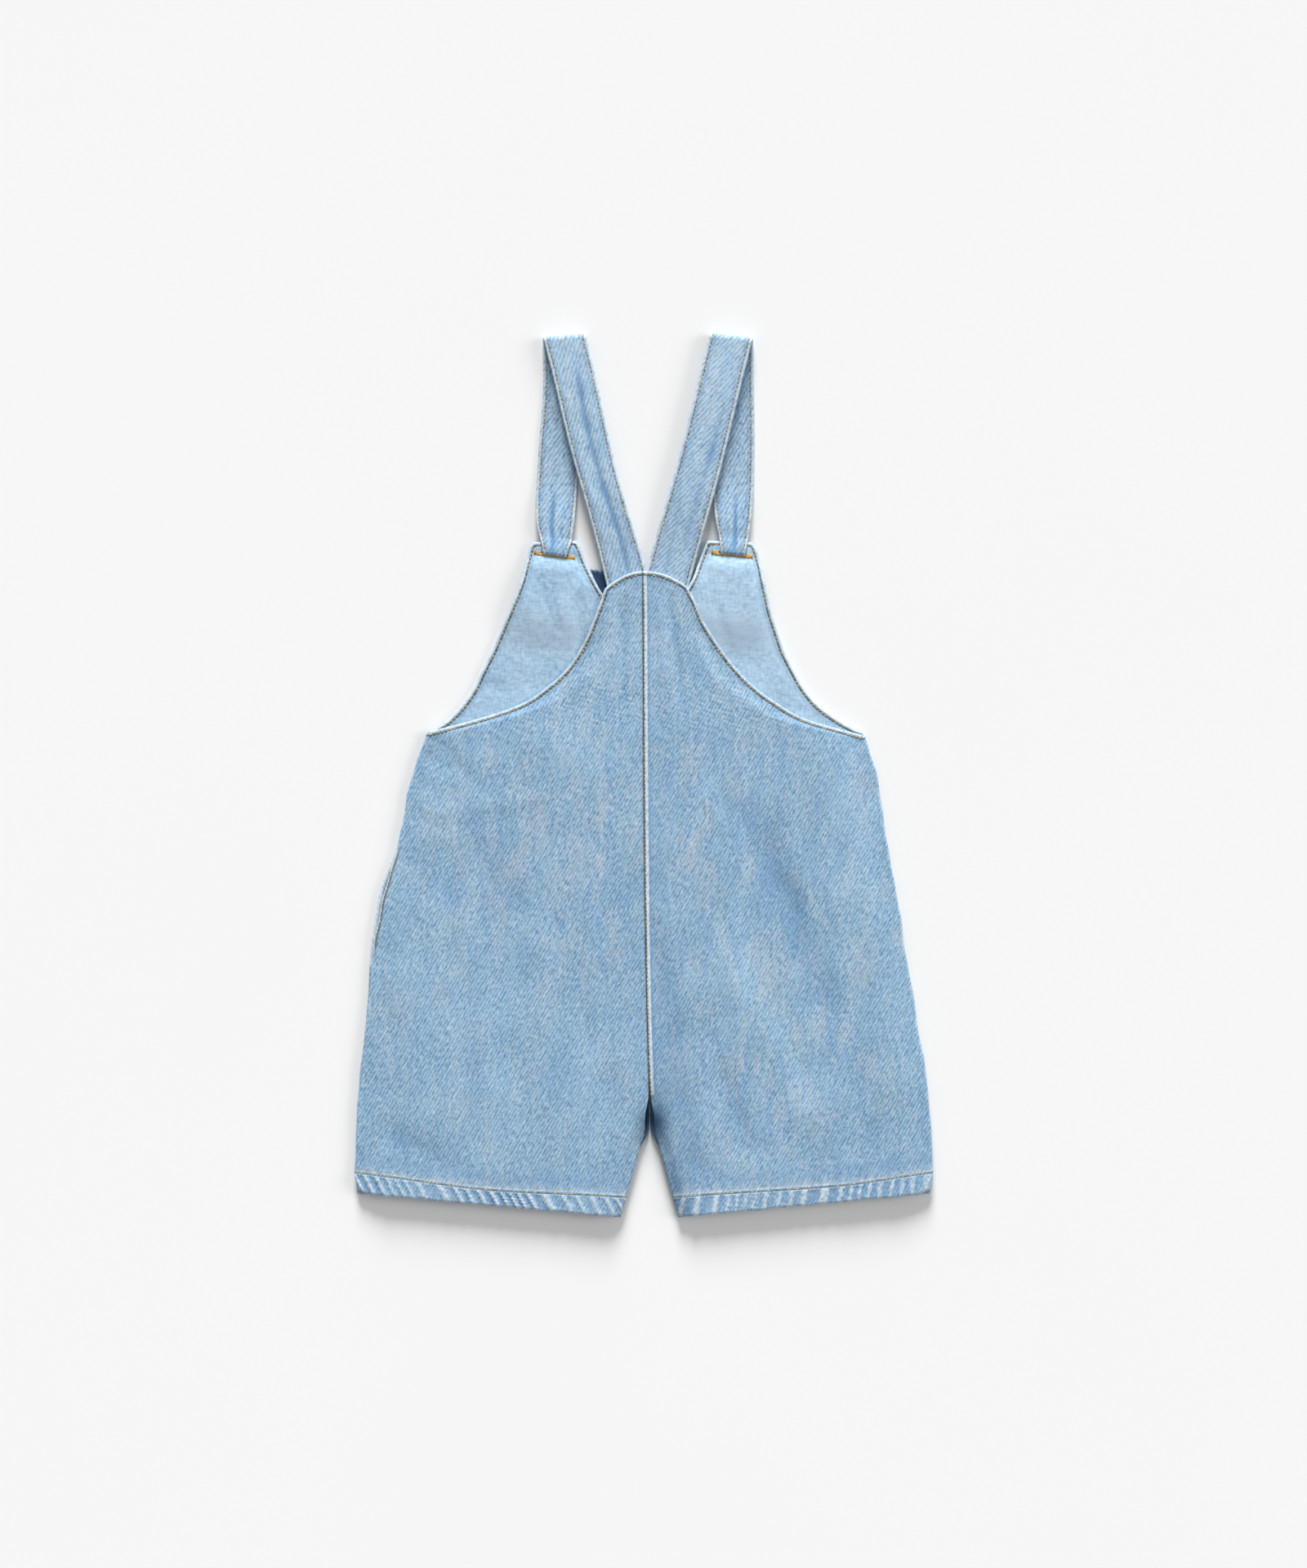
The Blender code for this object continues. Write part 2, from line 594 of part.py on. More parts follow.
def make_button(side, collection, cutters, material):
    x, y = slit_point(side, BUTTON_BELOW_SLIT) * MM
    bpy.ops.mesh.primitive_cylinder_add(vertices=20, radius=BUTTON_RADIUS * MM, depth=BUTTON_HEIGHT * MM,
                                        location=(x, y, BUTTON_HEIGHT / 2 * MM))
    thing = bpy.context.object
    thing.name = "button_" + side
    for holder in list(thing.users_collection):
        holder.objects.unlink(thing)
    collection.objects.link(thing)
    thing.data.materials.append(material)
    bevel = thing.modifiers.new("worn rim", "BEVEL")
    bevel.width = 0.4 * MM
    bevel.segments = 1
    bevel.limit_method = "ANGLE"
    for number in range(4):
        angle = math.radians(45 + 90 * number)
        where = (x + BUTTON_HOLE_SPREAD * MM * math.cos(angle),
                 y + BUTTON_HOLE_SPREAD * MM * math.sin(angle), BUTTON_HEIGHT / 2 * MM)
        bpy.ops.mesh.primitive_cylinder_add(vertices=6, radius=BUTTON_HOLE * MM, depth=0.01,
                                            location=where)
        hole = bpy.context.object
        hole.name = f"button_hole_{side}_{number + 1}"
        hide_cutter(hole, cutters)
        cut(thing, hole)
    return thing


def main():
    clear_scene()
    garment = bpy.data.collections.new("denim dungarees")
    cutters = bpy.data.collections.new("cutters")
    bpy.context.scene.collection.children.link(garment)
    bpy.context.scene.collection.children.link(cutters)
    denim = make_material("denim")
    facing = make_material("facing")
    pocketing = make_material("pocketing")
    button = make_material("button", roughness=0.4)
    for side in ("left", "right"):
        slit = make_slit(side, cutters)
        bib_points = make_front(side, garment, denim, slit)
        make_facing(side, bib_points, garment, facing, slit)
        make_back(side, garment, denim)
        make_strap(side, garment, denim)
        make_button(side, garment, cutters, button)
    make_pocket(garment, pocketing)


main()
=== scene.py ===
# %% [markdown]
# A toddler's short denim dungarees, laid face down on white paper
#
# The garment is a stack of cloth: the front lies on the paper, the bib's facing lies on the bib,
# the back lies on both, and two straps fold over at the shoulder and pass through slits in the
# bib's tabs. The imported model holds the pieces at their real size, and this script dresses them:
# fine cloth shells on the same sections, real stitches, worn edges and light blue denim.
#
# Lengths are in millimetres until a mesh is made, and metres in the mesh.

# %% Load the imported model
import json
import math

import bpy
import numpy as np
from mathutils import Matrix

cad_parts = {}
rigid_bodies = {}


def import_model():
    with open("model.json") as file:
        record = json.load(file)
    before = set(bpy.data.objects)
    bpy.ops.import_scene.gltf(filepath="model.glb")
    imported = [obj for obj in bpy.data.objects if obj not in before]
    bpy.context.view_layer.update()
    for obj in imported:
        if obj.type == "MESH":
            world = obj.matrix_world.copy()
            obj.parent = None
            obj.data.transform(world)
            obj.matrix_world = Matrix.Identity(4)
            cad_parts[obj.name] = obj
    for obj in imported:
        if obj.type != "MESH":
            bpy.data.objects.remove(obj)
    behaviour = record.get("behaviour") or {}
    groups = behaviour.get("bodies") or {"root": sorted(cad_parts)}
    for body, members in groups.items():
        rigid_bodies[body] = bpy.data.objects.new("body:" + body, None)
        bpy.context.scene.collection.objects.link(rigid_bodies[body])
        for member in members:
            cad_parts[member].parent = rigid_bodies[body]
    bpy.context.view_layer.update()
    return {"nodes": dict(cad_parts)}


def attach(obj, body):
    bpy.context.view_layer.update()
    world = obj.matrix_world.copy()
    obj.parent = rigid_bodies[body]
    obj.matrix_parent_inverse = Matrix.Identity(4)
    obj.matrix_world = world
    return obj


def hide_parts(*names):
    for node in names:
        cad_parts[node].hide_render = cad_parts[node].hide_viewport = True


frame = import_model()
MM = 0.001

# %% [markdown]
# Smooth steps and smooth curves
#
# Cloth has no hard corners, so every change of height eases in and out. A piece could be drawn by
# hand as a mesh, but then each change means moving many points. Here an outline is a short table
# of sections, and a curve through its rows gives as many sections as the mesh needs.

# %% Easing and curves through a table


def smooth(t):
    """0 below 0, 1 above 1, and 3t squared minus 2t cubed between."""
    t = np.clip(t, 0.0, 1.0)
    return t * t * (3.0 - 2.0 * t)


def rise(distance, reach):
    """1 at distance 0, easing to 0 at reach."""
    return 1.0 - smooth(distance / reach)


def hump(distance, width):
    """Bell curve: e to the minus (distance / width) squared."""
    return np.exp(-(distance / width) ** 2)


def through(table, steps):
    """Catmull-Rom curve through a table's rows, with its own number of steps after each row."""
    rows = np.array(table, dtype=float)
    ends = np.vstack([2 * rows[0] - rows[1], rows, 2 * rows[-1] - rows[-2]])
    parts = [k + np.arange(n) / n for k, n in enumerate(steps)]
    t = np.append(np.concatenate(parts), len(rows) - 1.0)
    k = np.minimum(t.astype(int), len(rows) - 2)
    f = (t - k)[:, None]
    a, b, c, d = ends[k], ends[k + 1], ends[k + 2], ends[k + 3]
    curve = 0.5 * (2 * b + (c - a) * f + (2 * a - 5 * b + 4 * c - d) * f ** 2
                   + (3 * b - a - 3 * c + d) * f ** 3)
    return t, curve


def ripple(x, y, seed):
    """Soft uneven noise: a sum of five sine waves in turned directions, about 1 wave a unit."""
    rng = np.random.default_rng(seed)
    total = 0.0
    for turn, pitch, start in rng.uniform((0, 0.6, 0), (math.pi, 1.6, 6.28), (5, 3)):
        total = total + np.sin(6.28 * pitch * (x * math.cos(turn) + y * math.sin(turn)) + start)
    return total / 3.0


print("a step eases through", smooth(np.linspace(0.0, 1.0, 5)))

# %% [markdown]
# The cut of the garment
#
# A pattern is cut from flat pieces, but a laid garment isn't flat, so its sections are tables of
# the outline as it lies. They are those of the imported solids, so that every shell lies where its
# solid lies. Heights are counted from the paper. The back's underside stands 4.8 mm up inside
# its edges and comes down to the seams, and the front curls up 1.5 mm to meet it.

# %% Walls and heights
DENIM, FACING, STRAP, GAP = 1.2, 1.0, 1.6, 0.3          # the solids' walls, and air between them
SHELL = 0.9                 # wall of a dressed denim shell
LOFT, ARMHOLE_UNDER = 4.8, 3.2          # the back's underside inside, and along the armhole
SEAM_RISE, EDGE_ROLL = 1.5, 9.0         # the front's curl at its seams, and how far in it starts
FAR = 99.0                  # stands for a distance too long to matter
SIDES = (("left", -1.0), ("right", 1.0))
print("the back's face lies", LOFT + DENIM, "mm up")

# %% Sections of the back above the underarms
BACK_TOP_COLUMNS = ("seam_y", "left_x", "left_y", "right_x", "right_y")
BACK_TOP = (
    (120.5, -23.5, 110.0, 25.0, 111.5),
    (103.5, -26.0, 102.5, 30.0, 102.5),
    (90.5, -30.5, 90.5, 35.0, 90.5),
    (77.0, -36.5, 77.0, 43.5, 77.0),
    (65.0, -45.0, 64.0, 52.5, 65.0),
    (54.0, -56.0, 53.5, 63.0, 54.0),
    (44.5, -71.5, 43.0, 75.5, 44.5),
    (36.0, -95.5, 34.5, 94.0, 34.0),
    (28.0, -127.5, 26.0, 128.5, 24.0),
)
print("back top:", len(BACK_TOP), "sections")

# %% Sections of the bib
BIB_COLUMNS = ("inner_y", "outer_y", "left_inner", "left_outer", "right_inner", "right_outer")
BIB = (
    (138.5, 137.5, -40.0, -65.5, 37.0, 63.0),
    (134.5, 134.5, -37.5, -67.5, 35.0, 65.5),
    (125.5, 125.0, -34.0, -70.0, 31.5, 68.5),
    (117.0, 115.0, -30.0, -72.5, 28.5, 70.5),
    (108.0, 105.5, -25.0, -76.0, 23.5, 72.5),
    (98.5, 95.0, -18.0, -80.5, 17.5, 75.0),
    (90.5, 84.5, -9.0, -85.0, 9.0, 78.5),
    (87.5, 73.0, 0.0, -90.0, 0.0, 82.5),
    (77.0, 62.0, 0.0, -95.5, 0.0, 88.0),
    (65.0, 51.5, 0.0, -100.5, 0.0, 94.0),
    (52.0, 42.0, 0.0, -107.0, 0.0, 102.0),
    (40.0, 33.0, 0.0, -115.5, 0.0, 114.0),
    (28.0, 25.0, 0.0, -127.5, 0.0, 128.5),
)
NECK_ROW = 7                # from here down both halves of the bib meet
print("bib:", len(BIB), "sections")

# %% Sections of the body and legs
BODY_COLUMNS = ("inner_y", "inner_x", "outer_y", "left_outer", "right_outer", "pocket_show",
                "crotch_show")
BODY = (
    (28.0, 0.0, 25.0, 128.0, 129.0, 0.0, 0.0),
    (14.5, 0.0, 12.0, 132.5, 133.5, 0.3, 0.0),
    (-4.5, 0.0, -5.0, 138.0, 137.9, 0.4, 0.0),
    (-28.5, 0.0, -29.0, 142.4, 141.1, 0.3, 0.0),
    (-46.5, 0.0, -46.5, 146.3, 144.1, 1.6, 0.0),
    (-64.5, 0.0, -65.0, 152.0, 147.5, 3.2, 0.0),
    (-83.5, 0.0, -84.0, 156.2, 150.9, 2.8, 0.0),
    (-103.0, 0.0, -103.0, 159.4, 153.2, 2.3, 0.0),
    (-124.5, 0.0, -124.5, 161.2, 157.6, 1.5, 0.0),
    (-148.5, 0.0, -148.0, 164.0, 160.7, 0.7, 0.0),
    (-168.0, 0.0, -167.0, 166.4, 164.6, 0.0, 0.0),
    (-187.0, 0.0, -183.0, 168.0, 166.3, 0.0, 0.4),
    (-199.5, 0.0, -195.5, 169.0, 167.4, 0.0, 2.4),
    (-209.5, 0.7, -205.0, 169.4, 168.4, 0.0, 2.2),
    (-218.0, 5.0, -213.5, 169.7, 168.8, 0.0, 0.3),
    (-232.0, 9.0, -224.0, 170.0, 169.0, 0.0, 0.0),
    (-247.5, 13.5, -233.0, 170.3, 169.7, 0.0, 0.0),
    (-259.5, 17.0, -245.5, 169.3, 168.3, 0.0, 0.0),
)
HEM_ROW, CROTCH_ROW, SEAM_ROWS = 16, 11, 2.0    # stitches, fork, rows in which a seam eases in
TOP_ROWS = len(BACK_TOP) - 1
print("body:", len(BODY), "sections")

# %% Places and widths of the straps
# Each strap: middle of its shoulder fold, middle of the back's edge over it, turn of the fold
# line, its slit and the slit's turn, and how far its back run bows sideways
STRAPS = {
    "left": {"fold": (-46.3, 256.2), "yoke": (-10.4, 116.0), "turn": 4.5, "slit_y": 130.0,
             "slit_turn": -7.3, "bow": -1.5},
    "right": {"fold": (50.4, 256.2), "yoke": (13.7, 116.5), "turn": -6.6, "slit_y": 130.5,
              "slit_turn": -6.0, "bow": 1.1},
}

# Width of each strap by the distance along it past its slit: it narrows as it is gathered in
WIDTH_COLUMNS = ("past_slit", "left", "right")
WIDTHS = (
    (-290.0, 24.8, 26.5),
    (-275.0, 24.8, 26.5),
    (-231.0, 22.8, 26.0),
    (-180.0, 24.3, 25.3),
    (-131.0, 24.6, 25.1),
    (-75.0, 24.4, 24.8),
    (-40.0, 24.2, 24.0),
    (-29.0, 23.8, 22.8),
    (-19.0, 22.6, 20.7),
    (-9.5, 19.2, 17.2),
    (-1.5, 14.5, 14.8),
    (6.0, 14.5, 14.5),
    (40.0, 14.5, 14.5),
)

# How far each front run lies to the right of the straight one, by the distance past the fold
DRIFT_COLUMNS = ("past_fold", "left", "right")
DRIFTS = (
    (-20.0, 0.0, 0.0),
    (4.0, 0.0, 0.0),
    (37.0, 2.9, -0.4),
    (70.0, 3.4, -0.8),
    (100.0, 4.3, -1.8),
    (118.0, 5.2, -2.3),
    (131.0, 6.7, -2.7),
    (170.0, 5.4, -7.5),
)
print("strap widths:", len(WIDTHS), "rows, drifts:", len(DRIFTS))
# %% The centre seams
TOP_Y, CROTCH_Y, SEAM_LEAN = 120.0, -187.0, 4.0
SEAM_SHIFT = 1.0            # the raised lap lies this far left of the solids' joint


def centre_x(y):
    """Where the centre seams lie at height y: straight at first, then leaning to the right."""
    t = np.clip((TOP_Y - y) / (TOP_Y - CROTCH_Y), 0.0, 1.0)
    return SEAM_LEAN * (0.35 * t + 0.65 * t ** 4) - SEAM_SHIFT


print("centre seam at the fork, x mm", centre_x(CROTCH_Y))

# %% [markdown]
# The straps' path
#
# A strap is one flat band. It goes up from the back's top edge, over a fold line at the
# shoulder, and down behind itself to the slit. Two separate strips would look alike from above,
# but their edges wouldn't meet at the fold. Folding a band over a line is the same as rolling it
# round a thin rod: a point past the line turns round the rod and comes back mirrored.

# %% The folded band in plan
FOLD_RADIUS = 2.4
FOLD_SQUARE, FOLD_EASE = 8.0, 28.0      # stations lie along the fold this near it, and ease off
SLIT_SQUARE, SLIT_EASE = 12.0, 20.0     # and the same before the slit


def read_along(table, columns, side, where):
    """A table's column for one side, on a smooth curve through its rows."""
    _, rows = through(table, (6,) * (len(table) - 1))
    return np.interp(where, rows[:, 0], rows[:, columns.index(side)])


def strap_frame(side):
    """Fold's middle, unit vectors along and across the back run, fold's normal, run's length."""
    row = STRAPS[side]
    fold = np.array(row["fold"])
    along = fold - np.array(row["yoke"])
    back_length = np.hypot(*along)
    along = along / back_length
    turn = math.radians(row["turn"])
    normal = np.array((-math.sin(turn), math.cos(turn)))
    return fold, along, np.array((-along[1], along[0])), normal, back_length


def strap_plan(side, a, w):
    """Plan point for a along and w across the band: sine of the turn past the fold, then back."""
    fold, along, across, normal, back_length = strap_frame(side)
    near_fold = rise(np.abs(a) - FOLD_SQUARE, FOLD_EASE)
    near_slit = smooth((a - slit_along(side) + SLIT_SQUARE + SLIT_EASE) / SLIT_EASE)
    shear = -w * (across @ normal) / (along @ normal) * near_fold + w * slit_shear(side) * near_slit
    flat = fold + np.outer(a + shear, along) + np.outer(w, across)
    past = (flat - fold) @ normal
    turned = np.clip(past / FOLD_RADIUS, 0.0, math.pi)
    beyond = np.maximum(past - math.pi * FOLD_RADIUS, 0.0)
    kept = np.minimum(past, 0.0) + FOLD_RADIUS * np.sin(turned) - beyond
    plan = flat + np.outer(kept - past, normal)
    plan[:, 0] += read_along(DRIFTS, DRIFT_COLUMNS, side, a)
    plan[:, 0] += STRAPS[side]["bow"] * np.sin(math.pi * np.clip(-a / back_length, 0.0, 1.0)) ** 2
    return plan


def slit_along(side):
    """Distance along the band's middle from the fold to the slit."""
    fold, along, _, normal, _ = strap_frame(side)
    down = along - 2 * (along @ normal) * normal
    return (fold[1] - STRAPS[side]["slit_y"]) / abs(down[1]) + math.pi * FOLD_RADIUS


def slit_direction(side):
    """Unit vector along the slit, from the left to the right."""
    turn = math.radians(STRAPS[side]["slit_turn"])
    return np.array((math.cos(turn), math.sin(turn)))


def slit_shear(side):
    """How far along the band a station moves for each unit across, to lie parallel to the slit."""
    _, along, across, normal, _ = strap_frame(side)
    down = along - 2 * (along @ normal) * normal
    over = across - 2 * (across @ normal) * normal
    slit = slit_direction(side)
    return (slit @ down) / (slit @ over)


def slit_point(side):
    """Plan point in the middle of the slit."""
    return strap_plan(side, np.array([slit_along(side)]), np.zeros(1))[0]


# %% Bumps over the hidden tail and button
SLIT_HEIGHT, TAIL_LENGTH, TAIL_WIDTH = 2.8, 32.0, 14.5
BUTTON_RADIUS, BUTTON_HEIGHT, BUTTON_BELOW_SLIT = 6.5, 2.0, 18.0
BUMP_REACH, SOFT_REACH = 11.0, 34.0     # how far the bib swells beside and below a strap's tail
AROUND = 1.5                # the cloth starts to come down this far outside tail and button


def outside_tail(side, plan, start, end):
    """Distance in plan outside the tail's stretch from start to end below the slit."""
    offset, slit = plan - slit_point(side), slit_direction(side)
    along = offset @ np.array((slit[1], -slit[0]))
    across = np.abs(offset @ slit) - TAIL_WIDTH / 2 - AROUND
    past = np.maximum(start - along, along - end)
    return np.hypot(np.maximum(across, 0.0), np.maximum(past, 0.0))


def button_bump(side, plan, reach=BUMP_REACH):
    """Lift over the hidden button, easing to 0 at reach outside it."""
    around = BUTTON_RADIUS + AROUND
    outside = outside_tail(side, plan, BUTTON_BELOW_SLIT - around, BUTTON_BELOW_SLIT + around)
    return (BUTTON_HEIGHT + GAP) * rise(outside, reach)


def front_bump(side, plan):
    """Lift of the bib over the strap's tail and its button, softer below than the solid's."""
    outside = outside_tail(side, plan, -SLIT_HEIGHT / 2 - 1.0, TAIL_LENGTH + AROUND)
    below = smooth((slit_point(side)[1] - plan[..., 1]) / 20.0)
    tail = (1 - below) * rise(outside, BUMP_REACH) + below * rise(outside, SOFT_REACH)
    button = (1 - below) * button_bump(side, plan) + below * button_bump(side, plan, SOFT_REACH)
    return (STRAP + 2 * GAP) * tail + button


for side, _ in SIDES:
    print("slit", side, "at mm", np.round(slit_point(side), 1),
          "and", round(slit_along(side), 1), "mm along the band")

# %% [markdown]
# Turning a grid of points into a cloth shell
#
# A cloth piece could be a simulated sheet, but a garment laid by hand has its own creases, and a
# simulation gives others. So a piece is a grid of points for its upper face, and Solidify gives it
# the wall under that face. The grid carries the flat coordinates of the cut cloth as a UV map, so
# that the twill follows the grain. Three marks at each point tell the finish what it must know:
# away holds the distances to the finished edge, the hem's stitches and the centre seam, wear
# says how far the cloth is rubbed, blued by dye and painted shade, and stitched, and lie its
# creases, patches and painted shade.

# %% Grids to meshes


def set_marks(mesh, marks):
    """Each mark is three numbers a point, kept as a vector attribute."""
    for mark, values in marks.items():
        stacked = np.stack([np.broadcast_to(v, marks["away"][0].shape) for v in values], -1)
        attribute = mesh.attributes.new(mark, "FLOAT_VECTOR", "POINT")
        attribute.data.foreach_set("vector", stacked.astype(np.float32).reshape(-1))


def make_shell(name, points, cloth, marks, thickness=SHELL, flip=False):
    """Grid (rows, columns, 3) in mm to a mesh with a UV map of cloth coordinates in metres."""
    rows, across = points.shape[:2]
    index = np.arange(rows * across).reshape(rows, across)
    faces = np.stack([index[:-1, :-1], index[1:, :-1], index[1:, 1:], index[:-1, 1:]], axis=-1)
    faces = faces.reshape(-1, 4)
    if flip:
        faces = faces[:, ::-1]
    mesh = bpy.data.meshes.new(name)
    mesh.from_pydata((points.reshape(-1, 3) * MM).tolist(), [], faces.tolist())
    flat = cloth.reshape(-1, 2) * MM
    layer = mesh.uv_layers.new(name="cloth")
    layer.data.foreach_set("uv", flat[faces.reshape(-1)].astype(np.float32).reshape(-1))
    set_marks(mesh, marks)
    mesh.shade_smooth()
    piece = bpy.data.objects.new(name, mesh)
    bpy.context.scene.collection.objects.link(piece)
    solidify = piece.modifiers.new("wall", "SOLIDIFY")
    solidify.thickness = thickness * MM
    solidify.offset = -1.0
    solidify.use_rim = True
    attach(piece, "root")
    print(name, rows, "x", across, "points, box mm", np.round(points.min((0, 1)), 1),
          np.round(points.max((0, 1)), 1))
    return piece


# %% Plan grids and distances
STITCH_IN = 2.1             # topstitching runs this far inside a finished edge


def spread(inner_points, outer_points, inner, outer, middle):
    """Plan grid between two edges: fixed distances near each edge and even ones between."""
    length = np.hypot(*(outer_points - inner_points).T)[:, None]
    near = np.repeat(np.array(inner)[None, :], len(length), axis=0)
    far = length - np.array(outer)[::-1]
    share = (np.arange(middle) + 1.0) / (middle + 1.0)
    between = near[:, -1:] + (far[:, :1] - near[:, -1:]) * share
    reach = np.concatenate([near, between, far], axis=1)
    way = (outer_points - inner_points) / length
    return inner_points[:, None, :] + way[:, None, :] * reach[..., None], reach, length - reach


def distance_to(plan, line):
    """Shortest distance in plan from each grid point to a polyline."""
    flat = plan.reshape(-1, 2)
    best = np.full(len(flat), 1e9)
    for a, b in zip(line[:-1], line[1:]):
        step = b - a
        t = np.clip(((flat - a) @ step) / max(step @ step, 1e-9), 0.0, 1.0)
        best = np.minimum(best, np.hypot(*(flat - a - t[:, None] * step).T))
    return best.reshape(plan.shape[:-1])


def turned_edge(distance):
    """Height of a turned and topstitched edge: rounded rim, plump band, groove at the stitches."""
    rim = -0.35 * rise(distance, 0.6)
    band = 0.18 * rise(distance - 1.3, 1.2)
    groove = -0.25 * hump(distance - STITCH_IN, 0.5)
    return rim + band + groove


print("a turned edge is", np.round(turned_edge(np.array((0.0, 1.2, STITCH_IN))), 2), "mm high")

# %% Edges of the bib and the body
FRONT_INSET = 0.5           # of the front's side edges inside the back's


def bib_edges(side, sign, steps):
    """Row numbers, and the inner and the outer edge's points, on curves through the bib's table."""
    t, rows = through(BIB, steps)
    column = {name: rows[:, n] for n, name in enumerate(BIB_COLUMNS)}
    inner_x = np.where(t >= NECK_ROW, 0.0, column[side + "_inner"])
    inner_x = inner_x + centre_x(column["inner_y"]) * smooth(t - (NECK_ROW - 1)) + sign * GAP / 2
    return (t, np.stack([inner_x, column["inner_y"]], 1),
            np.stack([column[side + "_outer"], column["outer_y"]], 1))


def body_edges(side, sign, steps, layer):
    """The same for the body: the back shows less at the fork, the front more at the open pocket."""
    t, rows = through(BODY, steps)
    column = {name: rows[:, n] for n, name in enumerate(BODY_COLUMNS)}
    inner_away = np.maximum(column["inner_x"], 0.0) * (t > CROTCH_ROW)
    outer_away = column[side + "_outer"]
    if layer == "back":
        inner_away = inner_away + np.maximum(column["crotch_show"], 0.0) * (t > CROTCH_ROW - 1)
    else:
        outer_away = outer_away - FRONT_INSET
        if side == "left":
            outer_away = outer_away + np.maximum(column["pocket_show"], 0.0)
    inner_x = centre_x(column["inner_y"]) + sign * (inner_away + GAP / 2)
    return (t, np.stack([inner_x, column["inner_y"]], 1),
            np.stack([sign * outer_away, column["outer_y"]], 1))


print("front inside the back by", FRONT_INSET, "mm")

# %% [markdown]
# Creases of the body
#
# Laid cloth isn't flat: it lies in long soft troughs and ridges that run from where it is held,
# here the crotch, the underarms and the yoke. Letting cloth fall in a simulation would crease it
# somewhere, but not where this one is creased. So each crease is listed with its own ends, width
# and height, uneven as they lie on the garment. A ridge's height is a bell curve of the distance
# to its line.

# %% Placed creases
# Each row: x and y of the start, x and y of the end, width, height (below 0 for a trough)
CREASES = (
    (62.0, -19.0, 111.0, -144.0, 10.0, -0.95),
    (80.0, -58.0, 92.0, -84.0, 6.0, -0.50),
    (34.0, -8.0, 40.0, -20.0, 3.4, 0.42),
    (40.0, -20.0, 50.0, -34.0, 3.4, 0.42),
    (39.0, -91.0, 106.0, -216.0, 10.0, 0.70),
    (104.0, 20.0, 132.0, -95.0, 13.0, 0.60),
    (82.0, 34.0, 120.0, -20.0, 12.0, 0.35),
    (43.0, -166.0, 64.0, -222.0, 6.0, -0.60),
    (6.0, -82.0, 20.0, -160.0, 7.0, -0.55),
    (14.0, -152.0, 32.0, -236.0, 8.0, -0.85),
    (-134.0, 18.0, -112.0, 2.0, 4.0, -0.55),
    (-122.0, 22.0, -98.0, -6.0, 4.5, -0.60),
    (-136.0, -12.0, -124.0, -18.0, 5.0, 0.50),
    (-129.0, -29.0, -90.0, -27.0, 3.2, -0.24),
    (-90.0, -27.0, -57.0, -18.0, 3.2, -0.20),
    (-128.0, -22.0, -60.0, -12.0, 4.0, 0.32),
    (-105.0, -34.0, -68.0, -82.0, 12.0, -0.55),
    (-67.0, 24.0, -22.0, -4.0, 11.0, 0.45),
    (-158.0, -206.0, -106.0, -231.0, 8.0, -0.60),
    (-36.0, -160.0, -30.0, -232.0, 10.0, 0.35),
    (-92.0, -112.0, -84.0, -216.0, 15.0, 0.40),
    (-130.0, -70.0, -138.0, -150.0, 10.0, 0.30),
    (-11.5, 106.0, -12.0, 40.0, 2.6, -0.65),
    (-17.0, 98.0, -24.0, 50.0, 2.8, 0.50),
    (9.0, 104.0, 12.0, 56.0, 2.8, 0.50),
    (15.0, 106.0, 24.0, 36.0, 2.6, -0.65),
    (31.0, 84.0, 44.0, 50.0, 3.4, 0.50),
    (128.0, -170.0, 136.0, -226.0, 10.0, -0.35),
)
FACING_CREASES = (
    (-60.0, 116.0, -50.0, 84.0, 3.4, -0.65),
    (-70.0, 112.0, -62.0, 78.0, 4.0, 0.40),
    (-38.5, 108.0, -33.0, 64.0, 3.0, -0.60),
    (-46.0, 104.0, -42.0, 62.0, 4.0, 0.35),
    (-96.0, 56.0, -80.0, 50.0, 3.6, -0.50),
    (-84.0, 74.0, -60.0, 60.0, 5.0, 0.30),
    (62.0, 112.0, 74.0, 66.0, 5.5, 0.45),
    (41.0, 104.0, 53.0, 62.0, 3.4, -0.45),
    (80.0, 66.0, 100.0, 44.0, 5.0, 0.35),
)


def creases(plan, table):
    """Sum of the placed creases: height times the bell curve of the distance to each line."""
    total = np.zeros(plan.shape[:-1])
    for x1, y1, x2, y2, width, height in table:
        start, way = np.array((x1, y1)), np.array((x2 - x1, y2 - y1))
        t = ((plan - start) @ way) / (way @ way)
        fade = smooth((t + 0.15) / 0.35) * smooth((1.15 - t) / 0.35)
        off = plan - start - np.clip(t, 0.0, 1.0)[..., None] * way
        total = total + height * fade * hump(np.hypot(off[..., 0], off[..., 1]), width)
    return total


print(len(CREASES), "creases on the back and", len(FACING_CREASES), "on the facing")

# %% [markdown]
# The back
#
# Two halves join in a felled centre seam whose lap stands up on the right half. The armhole and
# the top edge are turned and topstitched. Each leg ends in a turned hem, where washing has
# pulled the cloth into slanting ropes: rubbed pale on their crests and dark blue between. Ropes
# could be painted on, but they catch the light, so they are waves in the grid's height, and the
# same waves say where the cloth is rubbed and where it is dyed.

# %% Hem ropes and the columns' spacing
HEM_SLANT = {"left": 0.55, "right": -0.18}      # how far a rope leans to the right for each mm down
HEM_SAG = {"left": (2.8, 0.52), "right": (2.3, 0.66)}   # sag in mm, and its share of the way along
LIP_TOP, LIP_END = -40.0, -112.0        # the left side seam between them is the open pocket
LIP_IN = 1.0                            # its stitches run this far inside its fold


